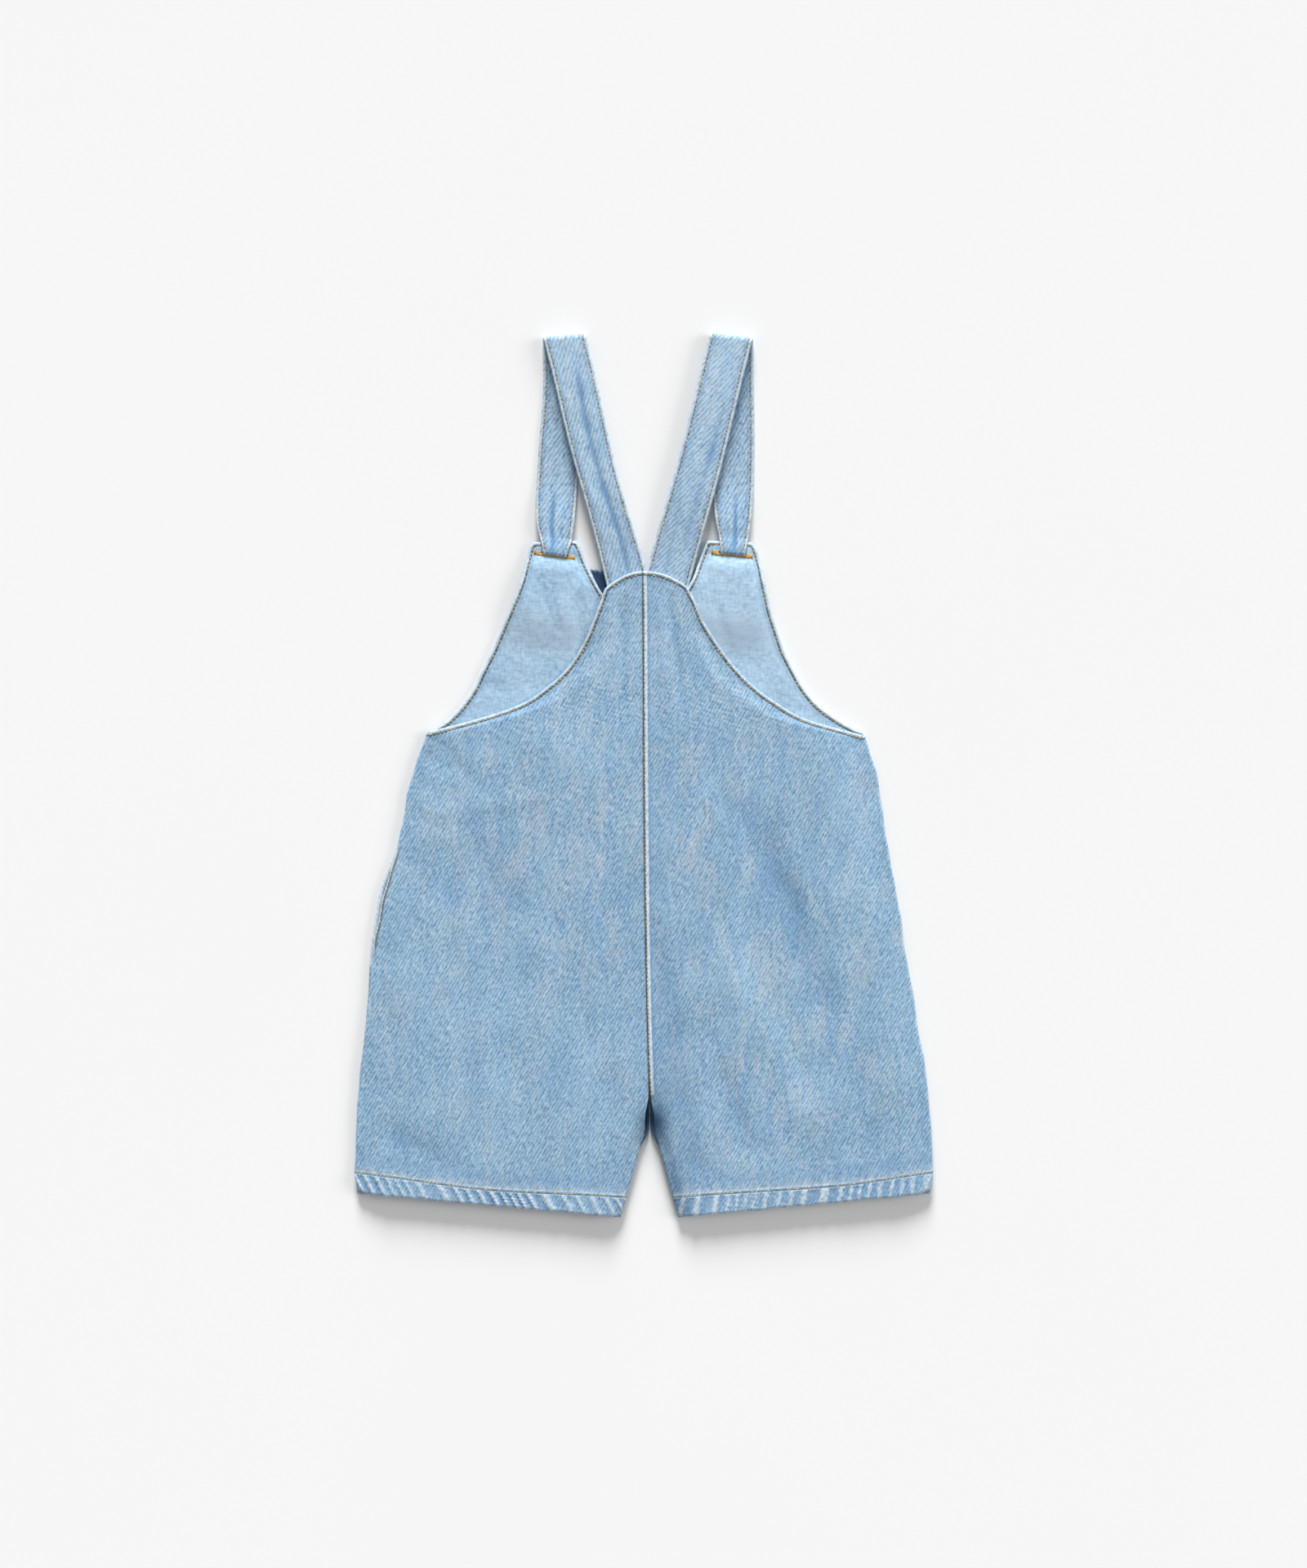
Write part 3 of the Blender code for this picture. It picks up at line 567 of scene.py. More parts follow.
def hem_ropes(side, plan, below):
    """Slanting waves along the hem: narrow crests and wide troughs with an uneven pitch."""
    x = plan[..., 0] - HEM_SLANT[side] * below
    phase = x / 7.3 + 0.50 * np.sin(x / 11.7 + 1.0) + 0.18 * np.sin(x / 5.3 + 2.0)
    strength = 0.78 + 0.30 * np.sin(x / 16.0 + 0.6)
    return (2.0 * smooth(0.5 + 1.1 * (np.sin(2 * math.pi * phase) - 0.45)) - 1.0) * strength


def fine(*stretches):
    """Distances from an edge: each stretch is (where it ends, step to it)."""
    marks = [0.0]
    for end, gap in stretches:
        count = max(1, round((end - marks[-1]) / gap))
        marks.extend(np.linspace(marks[-1], end, count + 1)[1:])
    return np.array(marks)


def open_pocket(side, y, mask=1.0):
    """1 beside the open pocket on the left, easing to 0 at its ends."""
    return mask * smooth((LIP_TOP - y) / 6.0) * smooth((y - LIP_END) / 18.0) * (side == "left")


NEAR_EDGE = fine((0.8, 0.2), (3.6, 0.35), (5.0, 0.7), (9.0, 1.33))
print(len(NEAR_EDGE), "columns within 9 mm of an edge")

# %% Plan of a back half
YOKE_ARCH = 2.4             # rise of the top edge between the seam and its corner
SIDE_SWAY, HEM_SWAY = 0.35, 0.35        # how far the side edges and the hem wander


def plan_back(side, sign):
    """Rows from the top edge to the hem, columns from the seam to the side, in plan."""
    top_t, rows = through(BACK_TOP, (22, 10, 10, 12, 16, 26, 24, 24))
    column = {name: rows[:, n] for n, name in enumerate(BACK_TOP_COLUMNS)}
    top_in = np.stack([centre_x(column["seam_y"]) + sign * GAP / 2, column["seam_y"]], 1)
    top_out = np.stack([column[side + "_x"], column[side + "_y"]], 1)
    body_t, body_in, body_out = body_edges(side, sign, (6,) * HEM_ROW + (20,), "back")
    inner, outer = np.vstack([top_in, body_in[1:]]), np.vstack([top_out, body_out[1:]])
    t = np.concatenate([top_t, TOP_ROWS + body_t[1:]])
    outer[:, 0] += SIDE_SWAY * ripple(outer[:, 1] / 24.0, 0.0, 51) * smooth(t - TOP_ROWS)
    plan, from_inner, from_outer = spread(inner, outer, NEAR_EDGE, NEAR_EDGE, 110)
    share = from_inner / (from_inner + from_outer)
    plan[..., 1] += YOKE_ARCH * 4 * share * (1 - share) * rise(t, 2.0)[:, None]
    in_hem = smooth(t - TOP_ROWS - HEM_ROW)[:, None]
    plan[..., 1] += in_hem * (2.4 * rise(from_outer, 9.0) + 1.4 * rise(from_inner, 6.0))
    plan[..., 1] += in_hem * HEM_SWAY * ripple(plan[..., 0] / 17.0, 0.0, 53)
    sag, lowest = HEM_SAG[side]
    near_hem = smooth(1.0 - np.abs(t - TOP_ROWS - HEM_ROW))[:, None]
    plan[..., 1] -= sag * near_hem * smooth(share / lowest) * smooth((1.0 - share) / (1.0 - lowest))
    return t, inner, outer, plan, from_inner, from_outer


def place_back(t, outer, plan, from_inner, from_outer):
    """Distances of each point from the edges and stitches, with 1 on the body and on the legs."""
    to_hem = distance_to(plan, plan[t == TOP_ROWS + HEM_ROW][0])
    return {"edge": distance_to(plan, np.vstack([plan[0], outer[t <= TOP_ROWS]])),
            "below": np.where((t > TOP_ROWS + HEM_ROW)[:, None], to_hem, -to_hem),
            "hem_edge": distance_to(plan, plan[-1]),
            "seam": np.where((t <= TOP_ROWS + CROTCH_ROW)[:, None], from_inner, FAR),
            "inner": from_inner, "outer": from_outer, "body": (t > TOP_ROWS)[:, None],
            "leg": smooth((t - TOP_ROWS - CROTCH_ROW - 1.0) / 2.0)[:, None]}


# %% Heights of a back half
BACK_ROLL = 20.0            # how far in from its edges the back comes down
HEM_EXTRA, LAP_EXTRA, LAP_WIDTH = 0.7, 0.5, 2.4         # doubled cloth of the hem and centre lap


def back_base(t, at):
    """Height of the plain cloth: its underside eases from the loft inside down to each seam."""
    edge_under = LOFT - (LOFT - ARMHOLE_UNDER) * smooth((t - 1.5) / 2.5)
    seam_under = SEAM_RISE + DENIM + GAP
    edge_under = edge_under - (ARMHOLE_UNDER - seam_under) * smooth((t - TOP_ROWS) / SEAM_ROWS)
    under = LOFT - (LOFT - edge_under)[:, None] * rise(at["outer"], BACK_ROLL)
    under = under - (LOFT - seam_under) * at["leg"] * rise(at["inner"], EDGE_ROLL)
    return np.maximum(under, seam_under) + DENIM


def back_folds(plan, at):
    """The creases with two soft noises, and the height they give, which fades beside the edges."""
    x, y = plan[..., 0], plan[..., 1]
    inside = smooth(np.minimum(at["outer"], np.where(at["leg"] > 0, at["inner"], FAR)) / 12.0)
    folds = creases(plan, CREASES) + 0.14 * ripple(x / 46.0, y / 60.0, 4)
    folds = folds + 0.05 * ripple(x / 15.0, y / 21.0, 9)
    return folds, folds * (0.25 + 0.75 * inside) * smooth((at["edge"] - 1.0) / 10.0)


def back_edges(side, plan, at):
    """Turned edges with their puckers, rounded side and leg seams, and the centre seam's lap."""
    x, y = plan[..., 0], plan[..., 1]
    edge, seam = at["edge"], at["seam"]
    relief = turned_edge(edge) + 0.13 * hump(edge - 2.4, 2.6) * ripple(x / 8.0, y / 8.0, 21)
    relief = relief + 0.12 * hump(seam - 5.0, 4.5) * ripple(y / 17.0, 0.0, 22)
    relief = relief + 0.05 * ripple(y / 3.0, x / 3.0, 23) * smooth((edge - 3.5) / 2.0)
    relief = relief - 0.8 * at["body"] * rise(at["outer"], 1.6) ** 2
    relief = relief - 0.8 * at["leg"] * rise(at["inner"], 1.6) ** 2
    if side == "right":
        lap = smooth(seam / 0.5) * smooth((LAP_WIDTH + 0.2 - seam) / 0.6)
        return relief + LAP_EXTRA * lap - 0.25 * hump(seam - 3.4, 1.0)
    puckered = smooth((y + 168.0) / 12.0) * smooth((-86.0 - y) / 12.0)
    waves = np.sin(y / 1.9 + 1.4 * np.sin(y / 9.0))
    return relief + 0.22 * puckered * hump(at["outer"] - 4.5, 3.5) * waves - 0.25 * hump(seam, 1.0)


def back_hem(side, plan, at):
    """The ropes in the hem, their echo above it, and the doubled cloth's height with both."""
    below, hem_edge = at["below"], at["hem_edge"]
    ropes = hem_ropes(side, plan, below)
    rope = ropes * smooth(below / 2.5) * (0.5 + 0.5 * smooth(hem_edge / 2.0))
    above = ropes * hump(np.minimum(below, 0.0), 6.0) * (below <= 0)
    doubled = HEM_EXTRA * smooth(below / 0.7) * smooth(hem_edge / 1.1) - 0.6 * rise(hem_edge, 0.8)
    return rope, above, doubled + 0.42 * rope + 0.12 * above - 0.35 * hump(below, 0.5)


# %% Finish and mesh of a back half


def mark_back(side, plan, at, folds, rope, above):
    """Marks from 0 to 1: each sums bell curves and steps of the distances, where they show."""
    x, y = plan[..., 0], plan[..., 1]
    below, seam, lip = at["below"], at["seam"], open_pocket(side, y)
    worn = 0.12 * at["body"] * rise(at["outer"], 1.2) + 0.12 * at["leg"] * rise(at["inner"], 1.2)
    worn = worn + 0.50 * lip * rise(at["outer"], 0.9)
    worn = worn + 0.46 * smooth(rope + 0.2) + 0.05 * smooth(below / 2.5) + 0.14 * smooth(above)
    worn = worn + 0.30 * smooth((below + 4.5) / 3.0) * (below < 0)
    worn = worn + 0.40 * rise(at["hem_edge"], 1.8)
    dye_and_shade = 0.50 * smooth(-rope - 0.1) + 0.25 * smooth(-above) + 0.22 * hump(below + 8.0, 3.5)
    # Painted shade in a broad band right of the centre seam; the creases' troughs are partly
    # painted shade, partly dye the washing missed.
    dye_and_shade = dye_and_shade + 0.14 * (side == "right") * hump(seam - 9.0, 7.0) + 0.30 * smooth(-folds / 1.2)
    # The pocket mouth's stitch line, in painted shade at its needle holes.
    needle = 0.95 * lip * hump(at["outer"] - LIP_IN - 0.2, 0.65)
    pale = folds + 0.8 * hump(np.hypot(x, y - 75.0), 50.0)      # ridges brighten and troughs darken, partly wear, partly painted shade; brighter round the yoke
    patch = 0.45 + 0.55 * hump(y + 30.0, 95.0) * hump(x, 125.0)
    patch = patch + 0.5 * hump(np.hypot(x - 85.0, y + 160.0), 55.0)
    shade = 0.8 * hump(x - 5.0, 9.0) * hump(y + 203.0, 11.0)    # dark inside the fork
    shade = shade + 0.25 * (x > 3.0) * hump(at["inner"] - 2.0, 9.0) * smooth((-150.0 - y) / 40.0)
    return {"away": (at["edge"], below, seam if side == "right" else -seam),
            "wear": (worn, dye_and_shade, needle), "lie": (pale, patch, shade)}


def make_back(side, sign):
    """A back half's shell, and its grid of points: base, folds, edges and hem added up."""
    t, inner, outer, plan, from_inner, from_outer = plan_back(side, sign)
    at = place_back(t, outer, plan, from_inner, from_outer)
    folds, folded = back_folds(plan, at)
    rope, above, hem = back_hem(side, plan, at)
    height = back_base(t, at) + folded + back_edges(side, plan, at) + hem
    lines[side] = {"yoke": plan[0], "armhole": outer[t <= TOP_ROWS], "outer": outer,
                   "seam": inner[t <= TOP_ROWS + CROTCH_ROW],
                   "hem": plan[t == TOP_ROWS + HEM_ROW][0]}
    points = np.concatenate([plan, height[..., None]], -1)
    marks = mark_back(side, plan, at, folds, rope, above)
    piece = make_shell("back_" + side + "_cloth", points, plan, marks, flip=sign < 0)
    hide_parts("back_" + side)
    return piece, points


lines, backs = {}, {}
for side, sign in SIDES:
    backs[side], lines[side]["points"] = make_back(side, sign)

# %% [markdown]
# The front
#
# Only slivers of the front show from above: the open side pocket on the left, and the fork between
# the legs. The rest is seen from below and from the sides. It lies flat, curls up to the side and
# inside-leg seams, and is lifted at the tabs by the straps' tails and their buttons. The facing is
# a second layer sewn to the bib, so it is the same grid moved outwards by both walls. The slit goes
# through both. Rows could be bent round it, but a real one is cut when the bib is finished, and a
# Boolean does the same.

# %% The slit and layers that lie on others
SHOWN_SLIT = (16.6, 2.0)    # the shells' slit closes on the band more than the solids' slit does


def moved_out(points, distance):
    """Grid points raised so far that they lie a distance outside the grid's own surface."""
    normal = np.cross(np.gradient(points, axis=0), np.gradient(points, axis=1))
    raised = points.copy()
    raised[..., 2] += distance * np.linalg.norm(normal, axis=-1) / np.abs(normal[..., 2])
    return raised


def make_cutter(side):
    """The slit in a bib tab: a thin slab across the strap's path."""
    point = slit_point(side)
    bpy.ops.mesh.primitive_cube_add(size=1.0)
    cutter = bpy.context.object
    cutter.scale = (SHOWN_SLIT[0] * MM, SHOWN_SLIT[1] * MM, 0.03)
    cutter.rotation_euler.z = math.radians(STRAPS[side]["slit_turn"])
    cutter.location = (point[0] * MM, point[1] * MM, 0.0)
    return cutter


def cut_slit(piece, side):
    """Cuts the slit through the finished wall, keeps the result, and returns its points in plan."""
    cutter = make_cutter(side)
    boolean = piece.modifiers.new("slit", "BOOLEAN")
    boolean.operation = "DIFFERENCE"
    boolean.solver = "EXACT"
    boolean.object = cutter
    graph = bpy.context.evaluated_depsgraph_get()
    mesh = bpy.data.meshes.new_from_object(piece.evaluated_get(graph))
    piece.modifiers.clear()
    piece.data = mesh
    bpy.data.objects.remove(cutter, do_unlink=True)
    points = np.empty(3 * len(mesh.vertices), dtype=np.float32)
    mesh.vertices.foreach_get("co", points)
    return points.reshape(-1, 3)[:, :2].astype(float) / MM


print("slits", SHOWN_SLIT[0], "mm long and", SHOWN_SLIT[1], "mm wide")

# %% Front halves
FRONT_CLEAR = 0.15          # the shell's lift off the paper


def make_front(side, sign):
    """A front half's shell: its underside is the bump over the tail plus the curl at the seams."""
    bib_t, bib_in, bib_out = bib_edges(side, sign, (8, 8, 6, 6, 6, 6, 5, 5, 5, 5, 5, 5))
    body_t, body_in, body_out = body_edges(side, sign, (6,) * HEM_ROW + (8,), "front")
    inner, outer = np.vstack([bib_in, body_in[1:]]), np.vstack([bib_out, body_out[1:]])
    near = fine((1.0, 0.33), (4.0, 1.0), (9.0, 1.7))
    plan, from_inner, from_outer = spread(inner, outer, near, near, 30)
    t = np.concatenate([np.zeros(len(bib_t)), body_t[1:]])
    in_body = np.concatenate([np.zeros(len(bib_t)), np.ones(len(body_t) - 1)])[:, None]
    side_mask = smooth(t / SEAM_ROWS)[:, None] * in_body
    leg_mask = smooth((t - CROTCH_ROW - 1.0) / 2.0)[:, None] * in_body
    edge_up = np.maximum(side_mask * rise(from_outer, EDGE_ROLL),
                         leg_mask * rise(from_inner, EDGE_ROLL))
    under = front_bump(side, plan) + SEAM_RISE * edge_up + FRONT_CLEAR
    lip = open_pocket(side, plan[..., 1], in_body)
    under = under + 0.35 * lip * hump(from_outer - 1.2, 0.9)
    top = np.concatenate([plan, (under + SHELL)[..., None]], -1)
    other_face = plan * np.array((-1.0, 1.0))       # the inside shows, so the twill is mirrored
    piece = make_shell("front_" + side + "_cloth", top, other_face, {}, flip=sign < 0)
    at = cut_slit(piece, side)
    edge, hem = distance_to(at, outer[:len(bib_t)]), distance_to(at, plan[-9])
    worn = 0.4 * rise(distance_to(at, plan[-1]), 1.8)
    if side == "left":
        mouth = (outer[:, 1] < LIP_TOP) & (outer[:, 1] > LIP_END)
        worn = worn + 0.65 * rise(distance_to(at, outer[mouth]) - 1.2, 1.4)
    shade = hump(np.hypot(at[:, 0] - 5.0, (at[:, 1] + 203.0) * 1.2), 24.0)
    waves = 0.2 * ripple(at[:, 0] / 40.0, at[:, 1] / 50.0, 25)
    set_marks(piece.data, {"away": (edge, hem, FAR), "wear": (worn, 0.0, 0.0),
                           "lie": (waves, 0.6, shade)})
    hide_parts("front_" + side)
    return piece


# %% Facings
FACING_SHELL = 0.8          # wall of its shell


def make_facing(side, sign):
    """A facing's shell: the front's bump moved out by both walls, with creases and edges."""
    t, inner, outer = bib_edges(side, sign, (12, 12, 12, 10, 10, 10, 10, 9, 9, 9, 9, 9))
    plan, _, _ = spread(inner, outer, NEAR_EDGE, NEAR_EDGE, 44)
    base = np.concatenate([plan, front_bump(side, plan)[..., None]], -1)
    points = moved_out(base, DENIM + GAP + FACING)
    outline = np.vstack([inner[t <= NECK_ROW][::-1], outer])
    edge = distance_to(plan, outline)
    x, y = plan[..., 0], plan[..., 1]
    folds = creases(plan, FACING_CREASES) + 0.05 * ripple(x / 8.0, y / 9.0, 35)
    folds = folds + 0.16 * ripple(x / 26.0, y / 34.0, 31 if side == "left" else 33)
    shown = np.where(folds > 0, 0.6 * folds, np.maximum(folds, -0.35))      # no deeper than the air
    points[..., 2] += turned_edge(edge) + shown * smooth((edge - 2.0) / 6.0)
    points[..., 2] += 0.10 * hump(edge - 2.2, 2.2) * ripple(x / 7.0, y / 7.0, 37)
    lines[side]["bib"], lines[side]["facing"] = outline, points
    name = "bib_facing_" + side
    piece = make_shell(name + "_cloth", points, plan, {}, thickness=FACING_SHELL, flip=sign < 0)
    at = cut_slit(piece, side)
    # Painted light: where the swell over the tail slopes away from the key light, the colour is
    # brightened to undo its shading.
    up = np.array((0.0, 1.0))
    fall = front_bump(side, at + up) - front_bump(side, at - up)
    paler_and_painted_light = 0.35 + sign * 0.4 + 6.0 * np.maximum(fall, 0.0)     # each side's own tone, plus painted light where the swell slopes away from the key light
    set_marks(piece.data, {"away": (distance_to(at, outline), FAR, FAR), "wear": (0.0, 0.0, 0.0),
                           "lie": (creases(at, FACING_CREASES), paler_and_painted_light, 0.0)})
    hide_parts(name)
    return piece


fronts, facings = {}, {}
for side, sign in SIDES:
    fronts[side] = make_front(side, sign)
    facings[side] = make_facing(side, sign)

# %% [markdown]
# The straps
#
# Each is denim folded into a band and topstitched along both edges. Long shallow creases run
# along it, and it is squeezed narrow where it enters the slit. The face that shows past the
# shoulder fold is the band's other face, so there the twill's across coordinate changes sign:
# the diagonal then leans the same way from the grain on both faces, as on a real folded band. A
# curve with a bevel would make the band too, but it couldn't be squeezed, sheared or creased.

# %% Strap creases and stations
STRAP_TUCK, STRAP_YOKE_Z, YOKE_EASE = 14.0, 3.7, 60.0   # its end under the back: length and height
SLIT_BEND, FLOOR_GAP = 1.4, 0.05        # its bend into the slit, and the tail's lift off the paper
TAB_HEIGHT, SOFT_CLIMB = 10.5, 36.8     # the tab over the slit, and the band's way up onto it

# Each row: start and end along the band, place across it, height, width
STRAP_CREASES = {
    "left": (
        (-150.0, -12.0, -1.5, -0.50, 2.0),
        (-128.0, -50.0, 6.0, 0.28, 2.6),
        (-110.0, -20.0, -7.0, 0.24, 2.0),
        (26.0, 122.0, -1.0, -0.35, 1.8),
        (92.0, 136.0, 1.2, 0.85, 1.2),
        (104.0, 136.0, -4.2, 0.35, 1.2),
    ),
    "right": (
        (-140.0, -30.0, -5.0, -0.28, 2.4),
        (-90.0, -12.0, 3.0, 0.26, 2.6),
        (-135.0, -95.0, 4.0, -0.26, 2.0),
        (60.0, 120.0, 3.5, -0.25, 2.0),
        (96.0, 136.0, -0.6, 0.85, 1.2),
        (104.0, 136.0, 4.6, 0.32, 1.2),
    ),
}


def strap_rows(side):
    """Stations along the band: distance, height of its middle, and width."""
    _, _, _, _, back_length = strap_frame(side)
    slit = slit_along(side)
    start = -(back_length + STRAP_TUCK)
    low = STRAP / 2 + FLOOR_GAP
    high = low + 2 * FOLD_RADIUS
    back = np.linspace(start, -7.0, 120)
    back_z = high + (STRAP_YOKE_Z - high) * rise(back - start - STRAP_TUCK, YOKE_EASE)
    fold = np.linspace(-6.0, math.pi * FOLD_RADIUS + 2.0, 40)
    drop = FOLD_RADIUS * (1 - np.cos(np.clip(fold / FOLD_RADIUS, 0, math.pi)))
    run = np.linspace(11.0, slit - TAB_HEIGHT - SOFT_CLIMB, 64)
    climb = np.linspace(run[-1], slit - TAB_HEIGHT, 13)[1:]
    over = np.linspace(slit - TAB_HEIGHT, slit - SLIT_BEND, 10)[1:]

    def over_tab(distance):
        """Height of the band's middle on the facing, at a distance along the band."""
        before = np.maximum(slit - distance - SLIT_HEIGHT / 2 - 1.0, 0.0)
        return low + (STRAP + 2 * GAP) * rise(before, BUMP_REACH) + DENIM + GAP + FACING + GAP

    climb_z = low + (over_tab(climb[-1]) - low) * smooth((climb - run[-1]) / SOFT_CLIMB)
    over_z = over_tab(over)
    turn = np.linspace(0.0, math.pi / 2, 7)[1:]
    down_a = slit - SLIT_BEND + SLIT_BEND * np.sin(turn)
    down_z = over_z[-1] - SLIT_BEND * (1 - np.cos(turn))
    level_a = np.append(slit, slit + SLIT_BEND * (1 - np.cos(turn)))
    level_z = np.append(low + SLIT_BEND, low + SLIT_BEND * (1 - np.sin(turn)))
    tail = np.linspace(slit + SLIT_BEND, slit + TAIL_LENGTH, 24)[1:]
    tail_z = low + button_bump(side, strap_plan(side, tail, np.zeros(len(tail))))
    a = np.concatenate([back, fold, run, climb, over, down_a, level_a, tail])
    z = np.concatenate([back_z, high - drop, np.full(len(run), low), climb_z, over_z, down_z,
                        level_z, tail_z])
    return a, z, read_along(WIDTHS, WIDTH_COLUMNS, side, a - slit)


print("strap stations:", len(strap_rows("left")[0]), "left,", len(strap_rows("right")[0]), "right")

# %% Strap surfaces
STRAP_STITCH_IN = 2.0
STRAP_PARTING, STRAP_CLEAR = 0.9, 0.25  # the two straps' ends keep off the middle by this


def strap_middle(side, sign, a, z, width):
    """Middle surface of the band, and places across it, cut off beside the garment's middle."""
    share = np.concatenate([np.linspace(-0.5, -0.385, 9), np.linspace(-0.35, 0.35, 21),
                            np.linspace(0.385, 0.5, 9)])
    inner_x = strap_plan(side, a, sign * width / 2)[:, 0] * sign
    outer_w = -sign * width / 2
    outer_x = strap_plan(side, a, outer_w)[:, 0] * sign
    clear = sign * STRAP_PARTING + STRAP_CLEAR
    kept = np.where(inner_x < clear, (outer_x - clear) / (outer_x - inner_x), 1.0)[:, None]
    w = outer_w[:, None] + (width[:, None] * share - outer_w[:, None]) * kept
    grid_a = np.repeat(a[:, None], len(share), 1)
    plan = strap_plan(side, grid_a.reshape(-1), w.reshape(-1)).reshape(len(a), len(share), 2)
    height = np.repeat(z[:, None], len(share), 1)
    return np.concatenate([plan, height[..., None]], -1), w, grid_a


def strap_folds(side, grid_a, w):
    """Soft noise plus bell curves across the band, which sway along it and fade at their ends."""
    folds = 0.10 * ripple(grid_a / 26.0, w / 12.0, 41 if side == "left" else 43)
    for start, end, place, height, breadth in STRAP_CREASES[side]:
        there = smooth((grid_a - start) / 16.0) * smooth((end - grid_a) / 12.0)
        sway = 0.8 * np.sin(grid_a / 19.0 + place)
        folds = folds + height * there * hump(w - place - sway, breadth)
    return folds


def make_strap(side, sign):
    """The band as rings of a closed tube: an upper and a lower face with rounded edges."""
    a, z, width = strap_rows(side)
    middle, w, grid_a = strap_middle(side, sign, a, z, width)
    normal = np.cross(np.gradient(middle, axis=0), np.gradient(middle, axis=1))
    normal /= np.linalg.norm(normal, axis=-1, keepdims=True)
    normal *= np.sign(normal[len(a) // 6, w.shape[1] // 2, 2])
    edge = width[:, None] / 2 - np.abs(w)
    body = STRAP / 2 * np.sqrt(1 - rise(edge, 0.9) ** 2 * 0.98)
    body = body - 0.20 * hump(edge - STRAP_STITCH_IN, 0.45)
    body = body + 0.07 * hump(edge - 1.4, 1.6) * ripple(grid_a / 7.0, w / 7.0, 45)
    folds = strap_folds(side, grid_a, w)
    bend = folds * 0.9 * smooth(edge / 2.5)
    middle = middle + normal * bend[..., None]
    top, bottom = middle + normal * body[..., None], middle - normal * body[..., None]
    seen = np.where(grid_a > 0, -folds, folds)
    away = edge + STITCH_IN - STRAP_STITCH_IN
    rings = [np.concatenate([upper, lower[:, ::-1]], axis=1) for upper, lower in
             ((top, bottom), (w, w), (away, away), (seen, seen))]
    return a, rings


def make_tube(name, a, rings):
    """Closed tube of rings with flat ends; the across coordinate changes sign on the lower face."""
    ring, w, away, folds = rings
    rows, around = ring.shape[:2]
    index = np.arange(rows * around).reshape(rows, around)
    turned = np.roll(index, -1, axis=1)
    faces = np.stack([index[:-1], turned[:-1], turned[1:], index[1:]], axis=-1).reshape(-1, 4)
    faces, caps = faces[:, ::-1], [index[0].tolist(), index[-1][::-1].tolist()]
    mesh = bpy.data.meshes.new(name)
    mesh.from_pydata((ring.reshape(-1, 3) * MM).tolist(), [], faces.tolist() + caps)
    lower = np.tile(np.arange(around) >= around // 2, (rows, 1))
    along = np.repeat(a[:, None], around, 1)
    flat = np.stack([np.where(lower, w, -w), along], -1).reshape(-1, 2) * MM
    loops = np.concatenate([faces.reshape(-1), np.array(caps[0] + caps[1])])
    layer = mesh.uv_layers.new(name="cloth")
    layer.data.foreach_set("uv", flat[loops].astype(np.float32).reshape(-1))
    rubbed = np.where(along < 0.0, 0.45, -0.45)     # the back run is rubbed paler than the front
    # Crease troughs are deeper blue and the creases set the tone: partly wear, partly painted
    # shade.
    set_marks(mesh, {"away": (away, FAR, FAR), "wear": (0.0, 0.75 * smooth(-folds / 0.6), 0.0),
                     "lie": (1.6 * folds + rubbed, 0.5, 0.0)})
    mesh.shade_smooth()
    piece = bpy.data.objects.new(name, mesh)
    bpy.context.scene.collection.objects.link(piece)
    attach(piece, "root")
    print(name, rows, "rings of", around)
    return piece


straps = {}
for side, sign in SIDES:
    a, rings = make_strap(side, sign)
    lines[side]["ring"], lines[side]["along"] = rings[0], a
    straps[side] = make_tube("strap_" + side + "_cloth", a, rings)
    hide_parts("strap_" + side)

# %% [markdown]
# The scrap in the left gap
#
# Between the bib and the left strap a dark blue raw edge looks out from under the back: the
# seam allowance inside, frayed. It lies in deep shadow, so nearly all its colour is painted shade.
# Hair strands could be its threads, but at this size a small sheet is enough, whose top row is
# uneven, as if it ended in threads.

# %% Frayed seam allowance
across, down = np.meshgrid(np.linspace(0.0, 1.0, 60), np.linspace(0.0, 1.0, 14))
fray = np.random.default_rng(61).uniform(-0.4, 0.9, 60)[None, :] * rise(down, 0.25)
left_side = -31.9 + 7.6 * down
right_side, top_edge = -22.5, 121.2 - 1.1 * across + fray
plan = np.stack([left_side + across * (right_side - left_side), top_edge - 15.5 * down], -1)
level = 1.5 + 0.12 * ripple(across * 6.0, down * 3.0, 63)
level = level + 0.25 * rise(down, 0.2) * np.sin(across * 90.0)
# Painted shade over the whole sheet, a little less at its frayed top row.
dark = 1.0 - 0.35 * rise(down, 0.12)
marks = {"away": (FAR + down, FAR, FAR), "wear": (0.35 * rise(down, 0.10), 0.4, 0.0),
         "lie": (0.0, 0.2, dark)}
points = np.concatenate([plan, level[..., None]], -1)
scrap = make_shell("seam_allowance_frayed_in_painted_shade", points, plan, marks, thickness=0.4)

# %% [markdown]
# Stitches
#
# Topstitching is a row of short thread loops, each pulled down at both ends. Real ones on such
# denim are about 2.4 mm apart and half a millimetre thick. A dashed line in the material would
# lie flat, so a stitch here is a small spindle, a circle carried along a half wave, and a seam is
# one joined mesh of them laid along its line on the cloth.

# %% One stitch, repeated along its line
STITCH_PITCH, STITCH_LENGTH, THREAD = 2.4, 2.0, 0.30    # spacing, length and radius
POCKET_STITCH = {"pitch": 2.2, "length": 1.7, "thread": 0.24}


def resample(line, pitch):
    """Points every pitch along a 3-D polyline, with the direction at each."""
    steps = np.linalg.norm(np.diff(line, axis=0), axis=1)
    where = np.concatenate([[0.0], np.cumsum(steps)])
    at = np.arange(pitch * 0.5, where[-1], pitch)
    points = np.stack([np.interp(at, where, line[:, k]) for k in range(3)], 1)
    ahead = np.stack([np.interp(at + 0.6, where, line[:, k]) for k in range(3)], 1)
    behind = np.stack([np.interp(at - 0.6, where, line[:, k]) for k in range(3)], 1)
    way = ahead - behind
    return points, way / np.linalg.norm(way, axis=1, keepdims=True)


